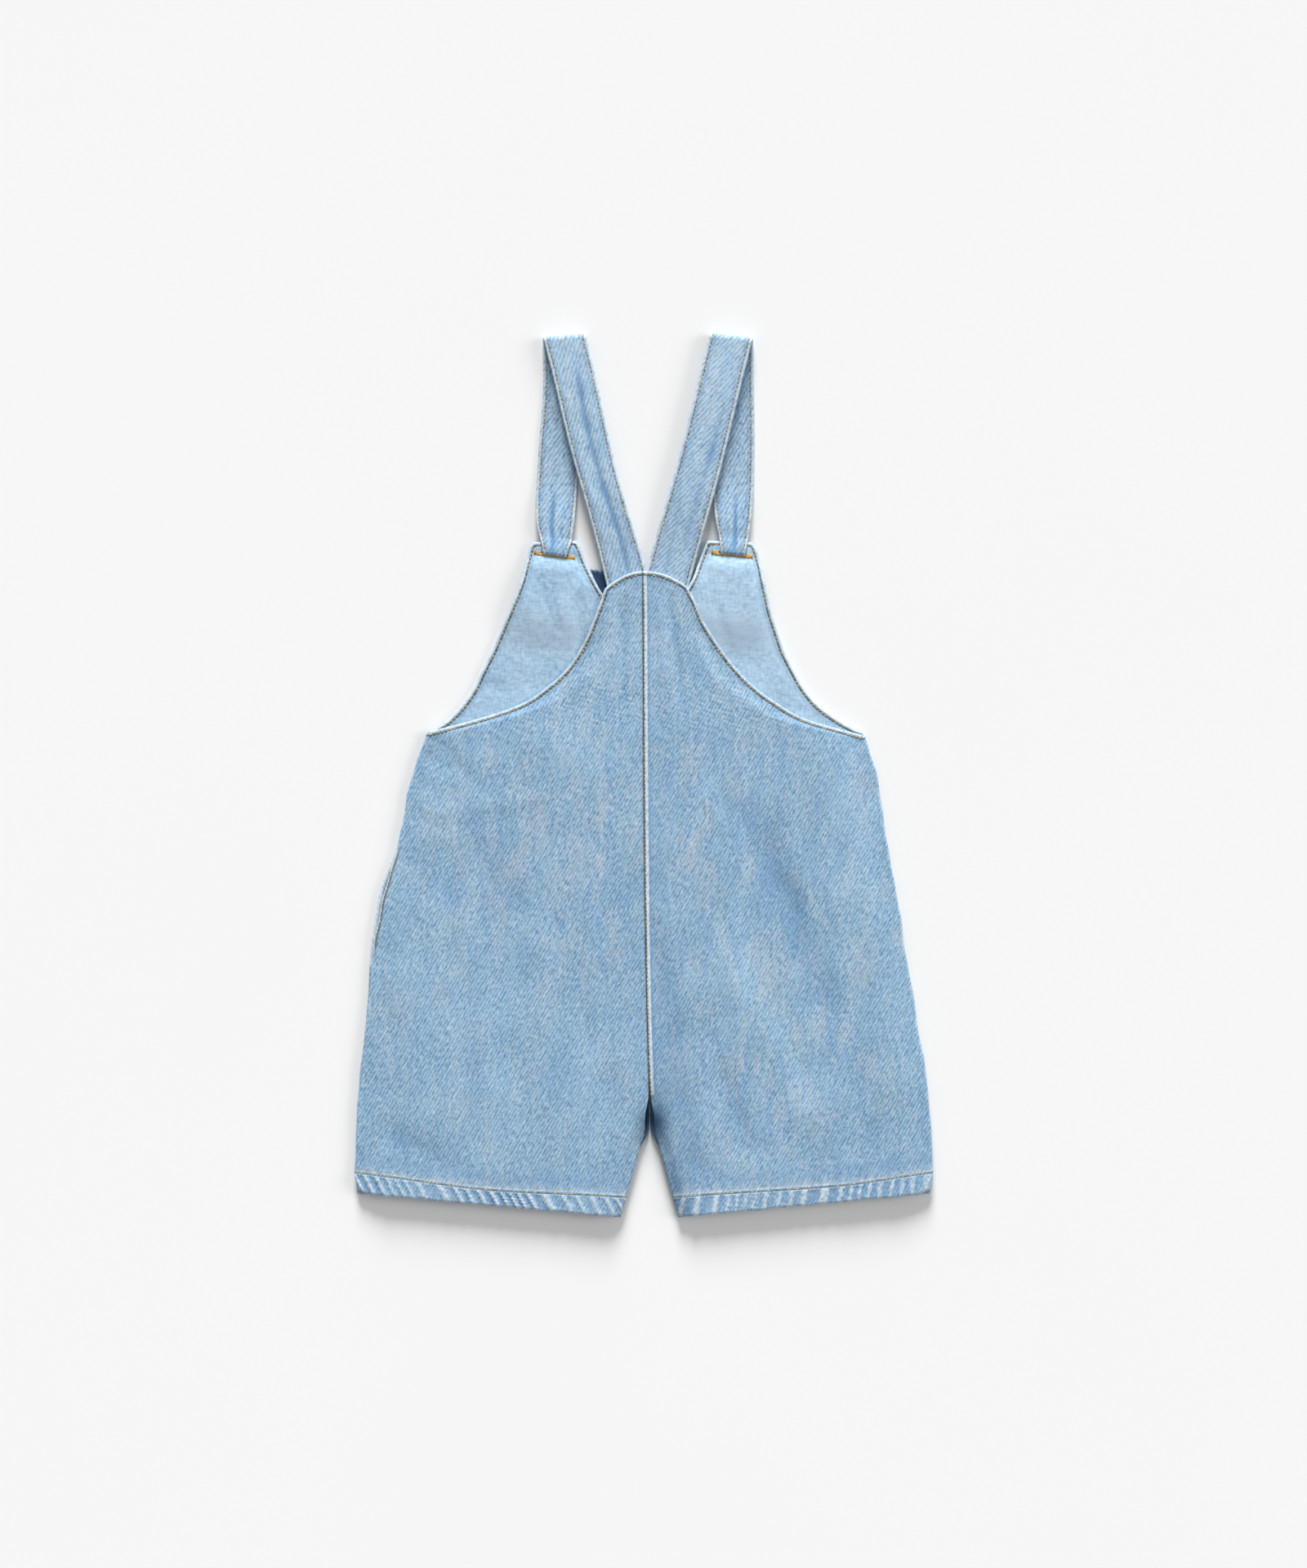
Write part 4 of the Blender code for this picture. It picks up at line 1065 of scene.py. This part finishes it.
def stitch_mesh(name, rows, pitch=STITCH_PITCH, length=STITCH_LENGTH, thread=THREAD, seed=5):
    """Joined spindles: radius is thread times the root of 1 minus the place along to the 4th."""
    ring, stations = 6, np.array((-1.0, -0.8, -0.35, 0.35, 0.8, 1.0))
    angle = np.arange(ring) * 2 * math.pi / ring
    radius = thread * np.sqrt(np.maximum(1.0 - stations ** 4, 0.02))
    lift = thread * (1.0 - stations ** 2) * 0.9 - thread * 0.55
    rng = np.random.default_rng(seed)
    verts, tones = [], []
    for line in rows:
        points, way = resample(np.asarray(line), pitch)
        level = np.cross(np.array((0.0, 0.0, 1.0)), way)
        level /= np.linalg.norm(level, axis=1, keepdims=True)
        up = np.cross(way, level)
        yaw = rng.normal(0.0, 0.05, len(points))[:, None]
        way = way + level * yaw
        grow = (length / 2 * rng.uniform(0.9, 1.06, len(points)))[:, None, None]
        spine = points[:, None, :] + way[:, None, :] * stations[None, :, None] * grow
        spine = spine + up[:, None, :] * lift[None, :, None]
        round_ = (level[:, None, None, :] * np.cos(angle)[None, None, :, None]
                  + up[:, None, None, :] * np.sin(angle)[None, None, :, None])
        verts.append((spine[:, :, None, :] + round_ * radius[None, :, None, None]).reshape(-1, 3))
        tones.append(np.repeat(rng.uniform(0.0, 1.0, len(points)), ring * len(stations)))
    verts, tones = np.concatenate(verts), np.concatenate(tones)
    count = len(verts) // (ring * len(stations))
    base = np.arange(ring * len(stations)).reshape(len(stations), ring)
    quads = np.stack([base[:-1], np.roll(base, -1, 1)[:-1], np.roll(base, -1, 1)[1:], base[1:]], -1)
    quads = quads.reshape(-1, 4)
    offsets = (np.arange(count) * ring * len(stations))[:, None]
    faces = (quads[None] + offsets[:, None]).reshape(-1, 4).tolist()
    faces += (base[0][::-1][None] + offsets).tolist() + (base[-1][None] + offsets).tolist()
    mesh = bpy.data.meshes.new(name)
    mesh.from_pydata((verts * MM).tolist(), [], faces)
    tone = mesh.attributes.new("tone", "FLOAT", "POINT")
    tone.data.foreach_set("value", tones.astype(np.float32))
    mesh.shade_smooth()
    piece = bpy.data.objects.new(name, mesh)
    bpy.context.scene.collection.objects.link(piece)
    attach(piece, "root")
    print(name, count, "stitches")
    return piece


# %% Lines on the cloth


def nearest_height(points, plan):
    """Height of a grid's nearest point under each plan point."""
    flat = points.reshape(-1, 3)
    heights = [flat[np.argmin(np.hypot(flat[:, 0] - x, flat[:, 1] - y)), 2] for x, y in plan]
    kernel = np.ones(5) / 5
    return np.convolve(np.pad(heights, 2, mode="edge"), kernel, "valid")


def inset(line, distance):
    """A polyline moved sideways, to the left of its direction when distance is positive."""
    way = np.gradient(line, axis=0)
    way /= np.linalg.norm(way, axis=1, keepdims=True)
    return line + np.stack([-way[:, 1], way[:, 0]], 1) * distance


def on_cloth(points, plan, clear=0.12):
    """A line in plan, evened out and laid on a grid of points, a little clear of it."""
    steps = np.hypot(*np.diff(plan, axis=0).T)
    where = np.concatenate([[0.0], np.cumsum(steps)])
    at = np.linspace(0.0, where[-1], max(8, int(where[-1] / 1.5)))
    even = np.stack([np.interp(at, where, plan[:, k]) for k in range(2)], 1)
    return np.column_stack([even, nearest_height(points, even) + clear])


def crosswise(start, end, count, length, height):
    """Short two-point lines side by side from start to end, each square to that way."""
    way = end - start
    square = np.array((-way[1], way[0])) / np.hypot(*way) * length / 2
    middles = start + way * np.linspace(0.0, 1.0, count)[:, None]
    return [np.array(((*(m - square), height), (*(m + square), height))) for m in middles]


print("stitches every", STITCH_PITCH, "mm,", 2 * THREAD, "mm thick")

# %% Topstitching
STRAP_STITCH_COLUMN = 6     # of the strap's rings: the groove lies there
threads = {}
for side, sign in SIDES:
    own, slit_a = lines[side], slit_along(side)
    grid = own["points"]
    rows = [on_cloth(grid, inset(own["armhole"], -sign * STITCH_IN)[5:]),
            on_cloth(grid, inset(own["yoke"], -sign * STITCH_IN)[3:-12]),
            on_cloth(grid, own["hem"][1:-1])]
    threads["back_" + side] = [stitch_mesh("topstitch_back_" + side, rows, seed=11)]
    rows = [on_cloth(own["facing"], inset(own["bib"], -sign * STITCH_IN)[8:-6])]
    threads["bib_facing_" + side] = [stitch_mesh("topstitch_bib_" + side, rows, seed=12)]
    ring, along = own["ring"], own["along"]
    half = ring.shape[1] // 2
    columns = (STRAP_STITCH_COLUMN, half - 1 - STRAP_STITCH_COLUMN)
    front_run = (along > 5.0) & (along < slit_a - 2.5)
    rows = [ring[along < 3.0][:, column] for column in columns]
    rows += [ring[front_run][:, half + column] for column in columns]
    threads["strap_" + side] = [stitch_mesh("topstitch_strap_" + side, rows, seed=13)]
seam_line = lines["right"]["seam"] + np.array((0.5, 0.0))
rows = [on_cloth(lines["right"]["points"], seam_line[8:])]
threads["back_right"].append(stitch_mesh("topstitch_centre_seam", rows, seed=14))
outer = lines["left"]["outer"]
mouth = (outer[:, 1] < LIP_TOP - 5.0) & (outer[:, 1] > LIP_END + 12.0)
rows = [on_cloth(lines["left"]["points"], outer[mouth] + np.array((LIP_IN, 0.0)), 0.02)]
pocket_mouth = stitch_mesh("topstitch_pocket_mouth", rows, **POCKET_STITCH, seed=15)
threads["back_left"].append(pocket_mouth)

# %% [markdown]
# The buttonholes
#
# Each slit ends in two bar tacks, dense blocks of gold thread sewn across its ends, and its
# lower edge is bound with thread. A small box with a striped finish would do from far away, but
# the threads are as thick as the seams', so every stitch is one spindle laid beside the next.

# %% Bar tacks and bound slits
TACKS = {"left": (-10.2, 10.0), "right": (-10.6, 9.8)}      # their middles, along the slit
TACK_LENGTH, TACK_WIDTH, TACK_STITCHES = 3.6, 2.7, 9
BINDING_WIDTH, BINDING_STITCHES = 1.7, 38
BINDING_STITCH = {"pitch": 1.6, "length": 1.6, "thread": 0.26}


def make_tacks(side):
    """Both tacks of a slit: stitches crosswise to it, each as long as the tack is wide."""
    middle, way = slit_point(side), slit_direction(side)
    facing = lines[side]["facing"]
    rows = []
    for place in TACKS[side]:
        centre = middle + way * place
        level = nearest_height(facing, [centre])[0] + 0.25
        half = way * TACK_LENGTH / 2
        rows += crosswise(centre - half, centre + half, TACK_STITCHES, TACK_WIDTH, level)
    return stitch_mesh("bar_tacks_" + side, rows, TACK_WIDTH - 0.1, TACK_WIDTH, 0.27, seed=16)


def make_binding(side):
    """The bound lower edge: short stitches across it, from one tack to the other."""
    middle, way = slit_point(side), slit_direction(side)
    edge = middle - np.array((-way[1], way[0])) * (SHOWN_SLIT[1] / 2 - 0.3)
    start, end = edge + way * TACKS[side][0], edge + way * TACKS[side][1]
    level = nearest_height(lines[side]["facing"], [edge])[0] + 0.30
    rows = crosswise(start, end, BINDING_STITCHES, BINDING_WIDTH, level)
    return stitch_mesh("slit_binding_" + side, rows, **BINDING_STITCH, seed=17)


tacks, bindings = {}, {}
for side, _ in SIDES:
    tacks[side], bindings[side] = make_tacks(side), make_binding(side)
    threads["bib_facing_" + side] += [tacks[side], bindings[side]]

# %% [markdown]
# Materials
#
# Stone-washed cotton denim: blue warp over white weft in a 3/1 twill, so the cloth shows broken
# slanting lines 60 degrees from level. Washing has rubbed the crests pale, most of all on turned
# edges, laps and the hem's ropes, and left the steps beside them blue, deepened there with painted
# shade. The needle holes along the stitches are darkened with painted shade, and the creases'
# troughs partly so. A scanned cloth would repeat, and it couldn't know where this garment is
# rubbed. So the twill is made of waves and noises in the cloth's own coordinates, and the marks on
# each mesh say where it is worn and where shade is painted. Cotton scatters light all round:
# roughness near 1, little shine, and a faint sheen from its fibres.

# %% Colours and nodes


def linear(code):
    """sRGB hex to linear colour."""
    parts = [int(code[k:k + 2], 16) / 255.0 for k in (1, 3, 5)]
    return (*(p / 12.92 if p <= 0.04045 else ((p + 0.055) / 1.055) ** 2.4 for p in parts), 1.0)


def add(tree, kind, inputs=None, output=0, **settings):
    """Adds a node with its settings, values and links, and returns one of its outputs."""
    made = tree.nodes.new(kind)
    for key, value in settings.items():
        setattr(made, key, value)
    for key, value in (inputs or {}).items():
        if isinstance(value, bpy.types.NodeSocket):
            tree.links.new(value, made.inputs[key])
        else:
            made.inputs[key].default_value = value
    return made.outputs[output]


def start_material(name, roughness, sheen=0.0):
    """A new material with its plain numbers set on the shader's own sockets."""
    material = bpy.data.materials.new(name)
    material.use_nodes = True
    shader = material.node_tree.nodes["Principled BSDF"]
    shader.inputs["Roughness"].default_value = roughness
    shader.inputs["Specular IOR Level"].default_value = 0.2
    shader.inputs["Sheen Weight"].default_value = sheen
    return material, material.node_tree, shader


print("pale denim", np.round(linear("#AACBE3")[:3], 3), "in linear numbers")

# %% Wear and painted shade beside edges and seams
# Each row: middle in mm from the finished edge, the hem's stitches and the centre seam, then
# where it starts and is full on both sides of that, and how strong it is
PALE_BAND = ((0.7, 500.0, 1.25), (1.3, 1.0, 1.3), (0.8, 0.5, 0.8), (0.34, 0.0, 0.62))
# The blue band inside turned edges and right of the lap is partly unfaded dye, partly painted shade
# at the step.
BLUE_BAND = ((3.7, 500.0, 3.0), (1.5, 1.0, 0.9), (0.4, 0.5, 0.3), (0.22, 0.0, 0.45))
# The needle line is painted shade in the needle holes and the groove beside the stitches.
NEEDLE_LINE = ((STITCH_IN, 0.0, -0.1), (0.95, 0.95, 0.6), (0.3, 0.35, 0.15), (0.80, 0.90, 0.45))
# Deeper blue for dye and painted shade, and grey for painted shade at the needle holes.
DYE_AND_SHADE_BLUE, NEEDLE_SHADE_GREY = "#5C88B4", "#566064"


def band_mark(tree, away, band):
    """How strongly a band beside an edge or a seam marks the cloth."""
    middle, start, full, strength = band
    off = add(tree, "ShaderNodeVectorMath", {0: away, 1: middle}, operation="SUBTRACT")
    off = add(tree, "ShaderNodeVectorMath", {0: off}, operation="ABSOLUTE")
    near = add(tree, "ShaderNodeMapRange", {6: off, 7: start, 8: full, 10: strength}, 1,
               data_type="FLOAT_VECTOR", interpolation_type="SMOOTHSTEP")
    ones = (1.0, 1.0, 1.0)
    return add(tree, "ShaderNodeVectorMath", {0: near, 1: ones}, 1, operation="DOT_PRODUCT")


def worn_look(tree, colour, yarn, pale, sewn=1.0):
    """Rubbed pale, deeper blue from dye and painted shade, and painted shade on the stitch lines,
    as the distances and the marks say.
    """
    away = add(tree, "ShaderNodeAttribute", output=1, attribute_name="away")
    wear = add(tree, "ShaderNodeAttribute", output=1, attribute_name="wear")
    worn, dye_and_shade, needle = add(tree, "ShaderNodeSeparateXYZ", {0: wear}).node.outputs
    pale_band, blue_band, needle_line = (band_mark(tree, away, band)
                                         for band in (PALE_BAND, BLUE_BAND, NEEDLE_LINE))
    worn = add(tree, "ShaderNodeMath", {0: worn, 1: pale_band}, operation="ADD")
    dye_and_shade = add(tree, "ShaderNodeMath", {0: dye_and_shade, 1: blue_band}, operation="ADD")
    stitched = add(tree, "ShaderNodeMath", {0: needle_line, 1: sewn, 2: needle},
                   operation="MULTIPLY_ADD")
    rubbed = add(tree, "ShaderNodeMath", {0: yarn, 1: 2.0, 2: 0.0}, operation="MULTIPLY_ADD")
    rubbed = add(tree, "ShaderNodeMath", {0: rubbed, 1: worn}, operation="MULTIPLY", use_clamp=True)
    for factor, tint in ((dye_and_shade, DYE_AND_SHADE_BLUE), (rubbed, pale), (stitched, NEEDLE_SHADE_GREY)):
        colour = add(tree, "ShaderNodeMix", {0: factor, 6: colour, 7: linear(tint)}, 2,
                     data_type="RGBA")
    return colour


print("rubbed pale", PALE_BAND[0], "mm from edge, hem stitches and centre seam")

# %% Denim
TWILL_PITCH = 0.0018        # metres between twill lines: real ones are 1.3 mm, coarser to show
TWILL_TURN = math.radians(60)
FINE = (0.45, 1.10, 1.10)   # how much twill, yarns and grain change the tone
BROAD = (0.35, 0.40, 0.45)  # how much threads, streaks and clouds change it
WAVE_UNIT = 2 * math.pi / 20.0      # a wave texture of scale 1 has 20 / 2 pi bands a metre
YARN_SCALE, GRAIN_SCALE = 640.0, 530.0      # slubs 1.6 to 1.9 mm long, coarser than real to show
PATCH_STRENGTH, PATCH_TINTS = 0.62, ("#82AEDF", "#A9B6C2", "#88ADC4")
RUBBED_DENIM, DEEP_SHADE = "#E0E8ED", "#2C4763"


def denim_material(name, dark, light, level, sewn=1.0, coarse=1.0):
    """Twill, yarns, grain and washing summed to one tone, which mixes the dark and light blue."""
    material, tree, shader = start_material(name, 0.92, sheen=0.08)
    cloth = add(tree, "ShaderNodeUVMap", uv_map="cloth")
    lie = add(tree, "ShaderNodeAttribute", output=1, attribute_name="lie")
    crest, patch, shade = add(tree, "ShaderNodeSeparateXYZ", {0: lie}).node.outputs

    # Twill: bands across the slant, bent so that they break up, and yarns drawn out along it
    slant = add(tree, "ShaderNodeMapping", {"Vector": cloth, "Rotation": (0.0, 0.0, -TWILL_TURN)})
    bands = {"Vector": slant, "Scale": WAVE_UNIT / TWILL_PITCH / coarse, "Distortion": 3.0,
             "Detail": 2.0, "Detail Scale": 2.2}
    twill = add(tree, "ShaderNodeTexWave", bands, 1, bands_direction="Y")
    drawn = add(tree, "ShaderNodeMapping", {"Vector": slant, "Scale": (0.50, 1.0, 1.0)})
    yarn = {"Vector": drawn, "Scale": YARN_SCALE / coarse, "Detail": 1.5}
    yarn = add(tree, "ShaderNodeTexNoise", yarn)
    grain = {"Vector": cloth, "Scale": GRAIN_SCALE / coarse, "Detail": 2.0}
    grain = add(tree, "ShaderNodeTexNoise", grain)
    parts = add(tree, "ShaderNodeCombineXYZ", {0: twill, 1: yarn, 2: grain})
    fine_tone = add(tree, "ShaderNodeVectorMath", {0: parts, 1: FINE}, 1, operation="DOT_PRODUCT")

    # Broad unevenness: single warp threads, streaks along the warp, and clouds from washing
    warp = add(tree, "ShaderNodeMapping", {"Vector": cloth, "Scale": (1.0, 0.22, 1.0)})
    tall = add(tree, "ShaderNodeMapping", {"Vector": cloth, "Scale": (1.0, 0.35, 1.0)})
    single = add(tree, "ShaderNodeTexNoise", {"Vector": warp, "Scale": 520.0, "Detail": 1.0})
    streak = add(tree, "ShaderNodeTexNoise", {"Vector": tall, "Scale": 95.0, "Detail": 3.0})
    cloud = add(tree, "ShaderNodeTexNoise", {"Vector": cloth, "Scale": 22.0, "Detail": 4.0})
    parts = add(tree, "ShaderNodeCombineXYZ", {0: single, 1: streak, 2: cloud})
    broad_tone = add(tree, "ShaderNodeVectorMath", {0: parts, 1: BROAD}, 1, operation="DOT_PRODUCT")
    tone = add(tree, "ShaderNodeMath", {0: fine_tone, 1: broad_tone}, operation="ADD")
    start = level - (sum(FINE) + sum(BROAD)) / 2
    # The crest mark brightens ridges and darkens troughs: partly wear, partly painted shade.
    crested = add(tree, "ShaderNodeMath", {0: crest, 1: 0.16, 2: start}, operation="MULTIPLY_ADD")
    tone = add(tree, "ShaderNodeMath", {0: tone, 1: crested}, operation="ADD", use_clamp=True)
    colour = add(tree, "ShaderNodeMix", {0: tone, 6: linear(dark), 7: linear(light)}, 2,
                 data_type="RGBA")

    # Patches where washing left the cloth bluer, greyer or greener: one noise, three channels
    wavy = {"Vector": tall, "Scale": 105.0, "Detail": 5.0, "Roughness": 0.65, "Distortion": 0.5}
    spots = add(tree, "ShaderNodeTexNoise", wavy, 1)
    spots = add(tree, "ShaderNodeVectorMath", {0: yarn, 1: (0.4,) * 3, 2: spots},
                operation="MULTIPLY_ADD")
    spots = add(tree, "ShaderNodeMapRange", {6: spots, 7: (0.66,) * 3, 8: (0.82,) * 3}, 1,
                data_type="FLOAT_VECTOR", interpolation_type="SMOOTHSTEP")
    spots = add(tree, "ShaderNodeVectorMath", {0: spots, "Scale": patch}, operation="SCALE")
    spots = add(tree, "ShaderNodeVectorMath", {0: spots, "Scale": PATCH_STRENGTH},
                operation="SCALE")
    spots = add(tree, "ShaderNodeSeparateXYZ", {0: spots}).node.outputs
    for spot, tint in zip(spots, PATCH_TINTS):
        colour = add(tree, "ShaderNodeMix", {0: spot, 6: colour, 7: linear(tint)}, 2,
                     data_type="RGBA", blend_type="COLOR")

    colour = worn_look(tree, colour, yarn, RUBBED_DENIM, sewn)
    shaded = add(tree, "ShaderNodeMix", {0: shade, 6: colour, 7: linear(DEEP_SHADE)}, 2,
                 data_type="RGBA")
    tree.links.new(shaded, shader.inputs["Base Color"])
    bump = {"Height": fine_tone, "Strength": 0.15, "Distance": 0.0001}
    tree.links.new(add(tree, "ShaderNodeBump", bump), shader.inputs["Normal"])
    return material


denim = denim_material("denim_stone_washed_twill", "#5C86A7", "#AACBE3", 0.44)
strap_denim = denim_material("denim_band_stone_washed", "#6688A8", "#BAD2E4", 0.62, sewn=0.35,
                             coarse=1.17)
print("denim has", len(denim.node_tree.nodes), "nodes, twill every", 1000 * TWILL_PITCH, "mm")

# %% [markdown]
# Facing, thread, pocketing and buttons
#
# The facing is plain-weave cotton, overdyed pale blue: no slant, only soft slubs both ways, so it
# looks smoother than the denim. The thread is spun polyester, a little shinier than cotton and
# uneven in tone from stitch to stitch: tan on the seams and gold in the buttonholes. The pocket
# bag is undyed cotton, hidden behind the open pocket. It and the buttons, of resin cast like
# clouded horn and polished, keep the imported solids' meshes and need only a finish.

# %% Facing
WEAVE = (1.0, 1.0, 0.7)     # how much weft, warp and clouds change the tone


def facing_material(name, dark, light):
    """Plain weave: warp and weft threads 0.5 mm apart, too fine to show, so only their slubs do."""
    material, tree, shader = start_material(name, 0.9, sheen=0.1)
    cloth = add(tree, "ShaderNodeUVMap", uv_map="cloth")
    lie = add(tree, "ShaderNodeAttribute", output=1, attribute_name="lie")
    crest, lighter_and_painted_light, _ = add(tree, "ShaderNodeSeparateXYZ", {0: lie}).node.outputs
    wide = add(tree, "ShaderNodeMapping", {"Vector": cloth, "Scale": (0.4, 1.0, 1.0)})
    tall = add(tree, "ShaderNodeMapping", {"Vector": cloth, "Scale": (1.0, 0.4, 1.0)})
    weft = add(tree, "ShaderNodeTexNoise", {"Vector": wide, "Scale": YARN_SCALE, "Detail": 1.0})
    warp = add(tree, "ShaderNodeTexNoise", {"Vector": tall, "Scale": YARN_SCALE, "Detail": 1.0})
    cloud = add(tree, "ShaderNodeTexNoise", {"Vector": cloth, "Scale": 34.0, "Detail": 4.0})
    parts = add(tree, "ShaderNodeCombineXYZ", {0: weft, 1: warp, 2: cloud})
    weave = add(tree, "ShaderNodeVectorMath", {0: parts, 1: WEAVE}, 1, operation="DOT_PRODUCT")
    # Crease ridges brighten the tone and troughs darken it: partly wear, partly painted shade.
    tone = add(tree, "ShaderNodeMath", {0: crest, 1: 0.30, 2: weave}, operation="MULTIPLY_ADD")
    # Painted light on the swell's far slope, and each side's own tone, lift the facing's tone.
    tone = add(tree, "ShaderNodeMath", {0: lighter_and_painted_light, 1: 0.22, 2: tone}, operation="MULTIPLY_ADD")
    tone = add(tree, "ShaderNodeMath", {0: tone, 1: 0.92}, operation="SUBTRACT", use_clamp=True)
    colour = add(tree, "ShaderNodeMix", {0: tone, 6: linear(dark), 7: linear(light)}, 2,
                 data_type="RGBA")
    worn = worn_look(tree, colour, weft, "#DCE5EA")
    tree.links.new(worn, shader.inputs["Base Color"])
    bump = {"Height": weave, "Strength": 0.3, "Distance": 0.00015}
    tree.links.new(add(tree, "ShaderNodeBump", bump), shader.inputs["Normal"])
    return material


facing = facing_material("facing_pale_plain_weave", "#86A9C6", "#BED9EE")
print("facing has", len(facing.node_tree.nodes), "nodes")

# %% Thread, and the finish on each new piece


def thread_material(name, dark, light):
    """Spun thread: every stitch has its own tone between two colours, from its mark."""
    material, tree, shader = start_material(name, 0.6)
    tone = add(tree, "ShaderNodeAttribute", output=2, attribute_name="tone")
    colour = add(tree, "ShaderNodeMix", {0: tone, 6: linear(dark), 7: linear(light)}, 2,
                 data_type="RGBA")
    tree.links.new(colour, shader.inputs["Base Color"])
    return material


thread = thread_material("thread_tan_polyester", "#6E6048", "#C9B58A")
gold_thread = thread_material("thread_gold_polyester", "#A9813C", "#DDB667")

for side, _ in SIDES:
    for piece, cloth in ((backs[side], denim), (fronts[side], denim), (straps[side], strap_denim),
                         (facings[side], facing)):
        piece.data.materials.clear()
        piece.data.materials.append(cloth)
scrap.data.materials.append(denim)
for piece in [piece for pieces in threads.values() for piece in pieces]:
    gold = piece in tacks.values() or piece in bindings.values()
    piece.data.materials.append(gold_thread if gold else thread)
print("finished", sum(len(pieces) for pieces in threads.values()), "thread pieces")

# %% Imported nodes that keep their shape


def plain_material(name, tint, deep, scale, roughness):
    """One colour, flecked with a deeper one: cotton's slubs, or the clouds cast into resin."""
    material, tree, shader = start_material(name, roughness)
    place = add(tree, "ShaderNodeTexCoord", output=3)
    fleck = add(tree, "ShaderNodeTexNoise", {"Vector": place, "Scale": scale, "Detail": 3.0})
    colour = add(tree, "ShaderNodeMix", {0: fleck, 6: linear(tint), 7: linear(deep)}, 2,
                 data_type="RGBA")
    tree.links.new(colour, shader.inputs["Base Color"])
    return material


def dress_node(name, material):
    """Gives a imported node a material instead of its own."""
    thing = frame["nodes"][name]
    thing.data.materials.clear()
    thing.data.materials.append(material)
    print(name, "is", material.name)


dress_node("pocket_bag_left", plain_material("pocketing_cotton", "#E2E4E0", "#C9CCC6", 700.0, 0.9))
horn = plain_material("button_horn_resin", "#8A7458", "#4C3B2A", 160.0, 0.35)
for side, _ in SIDES:
    dress_node("button_" + side, horn)

# %% [markdown]
# Sheets of cloth
#
# A tailor starts from flat cloth.

# %% Sheet count
print("nine sheets of cloth made")

# %% [markdown]
# Paper, light and camera
#
# The garment was laid on white paper and seen from straight above. The main light is low and wide
# and stands far beyond the straps, so the clear shadows lie below the hems and in the straps' gaps.
# A weaker one fills in from the right, and white walls light the rest from all sides. Area lamps
# near the paper would leave it brighter on their side, so both are suns, which light it evenly,
# and their angle makes the shadows' edges soft.

# %% Paper and lights
KEY_LIGHT = {"place": (-0.2, 4.1, 1.3), "angle": 19.0, "strength": 5.4}
FILL_LIGHT = {"place": (4.0, 0.6, 2.2), "angle": 28.0, "strength": 1.0}
WALL_LIGHT = 0.36

bpy.ops.mesh.primitive_plane_add(size=6.0, location=(0, 0, -0.0002))
floor = bpy.context.object
floor.name = "floor"
floor.data.materials.append(plain_material("paper_white_matt", "#F2F2F2", "#F4F4F4", 3.0, 0.85))


def sun_light(name, place, angle, strength):
    """A distant light in the direction of a place, as wide as an angle in degrees."""
    data = bpy.data.lights.new(name, "SUN")
    data.angle, data.energy = math.radians(angle), strength
    lamp = bpy.data.objects.new(name, data)
    bpy.context.scene.collection.objects.link(lamp)
    lamp.location = place
    aim = -np.array(place, dtype=float)
    lamp.rotation_euler = (math.acos(-aim[2] / np.linalg.norm(aim)), 0.0,
                           math.atan2(aim[1], aim[0]) - math.pi / 2)


sun_light("key_wall", **KEY_LIGHT)
sun_light("side_wall", **FILL_LIGHT)

world = bpy.data.worlds.new("studio")
bpy.context.scene.world = world
world.use_nodes = True
world.node_tree.nodes["Background"].inputs[0].default_value = (1.0, 1.0, 1.0, 1.0)
world.node_tree.nodes["Background"].inputs[1].default_value = WALL_LIGHT
bpy.context.scene.view_settings.view_transform = "Standard"
print("lights", KEY_LIGHT, FILL_LIGHT)

# %% Camera straight above
CAMERA_HEIGHT, VIEW_X, VIEW_Y = 2.565, 0.0053, -0.0046
data = bpy.data.cameras.new("camera")
data.lens, data.sensor_width = 100.0, 36.0
camera = bpy.data.objects.new("camera", data)
bpy.context.scene.collection.objects.link(camera)
camera.location = (VIEW_X, VIEW_Y, CAMERA_HEIGHT)
bpy.context.scene.camera = camera
print("camera", CAMERA_HEIGHT, "m up, lens", data.lens, "mm")
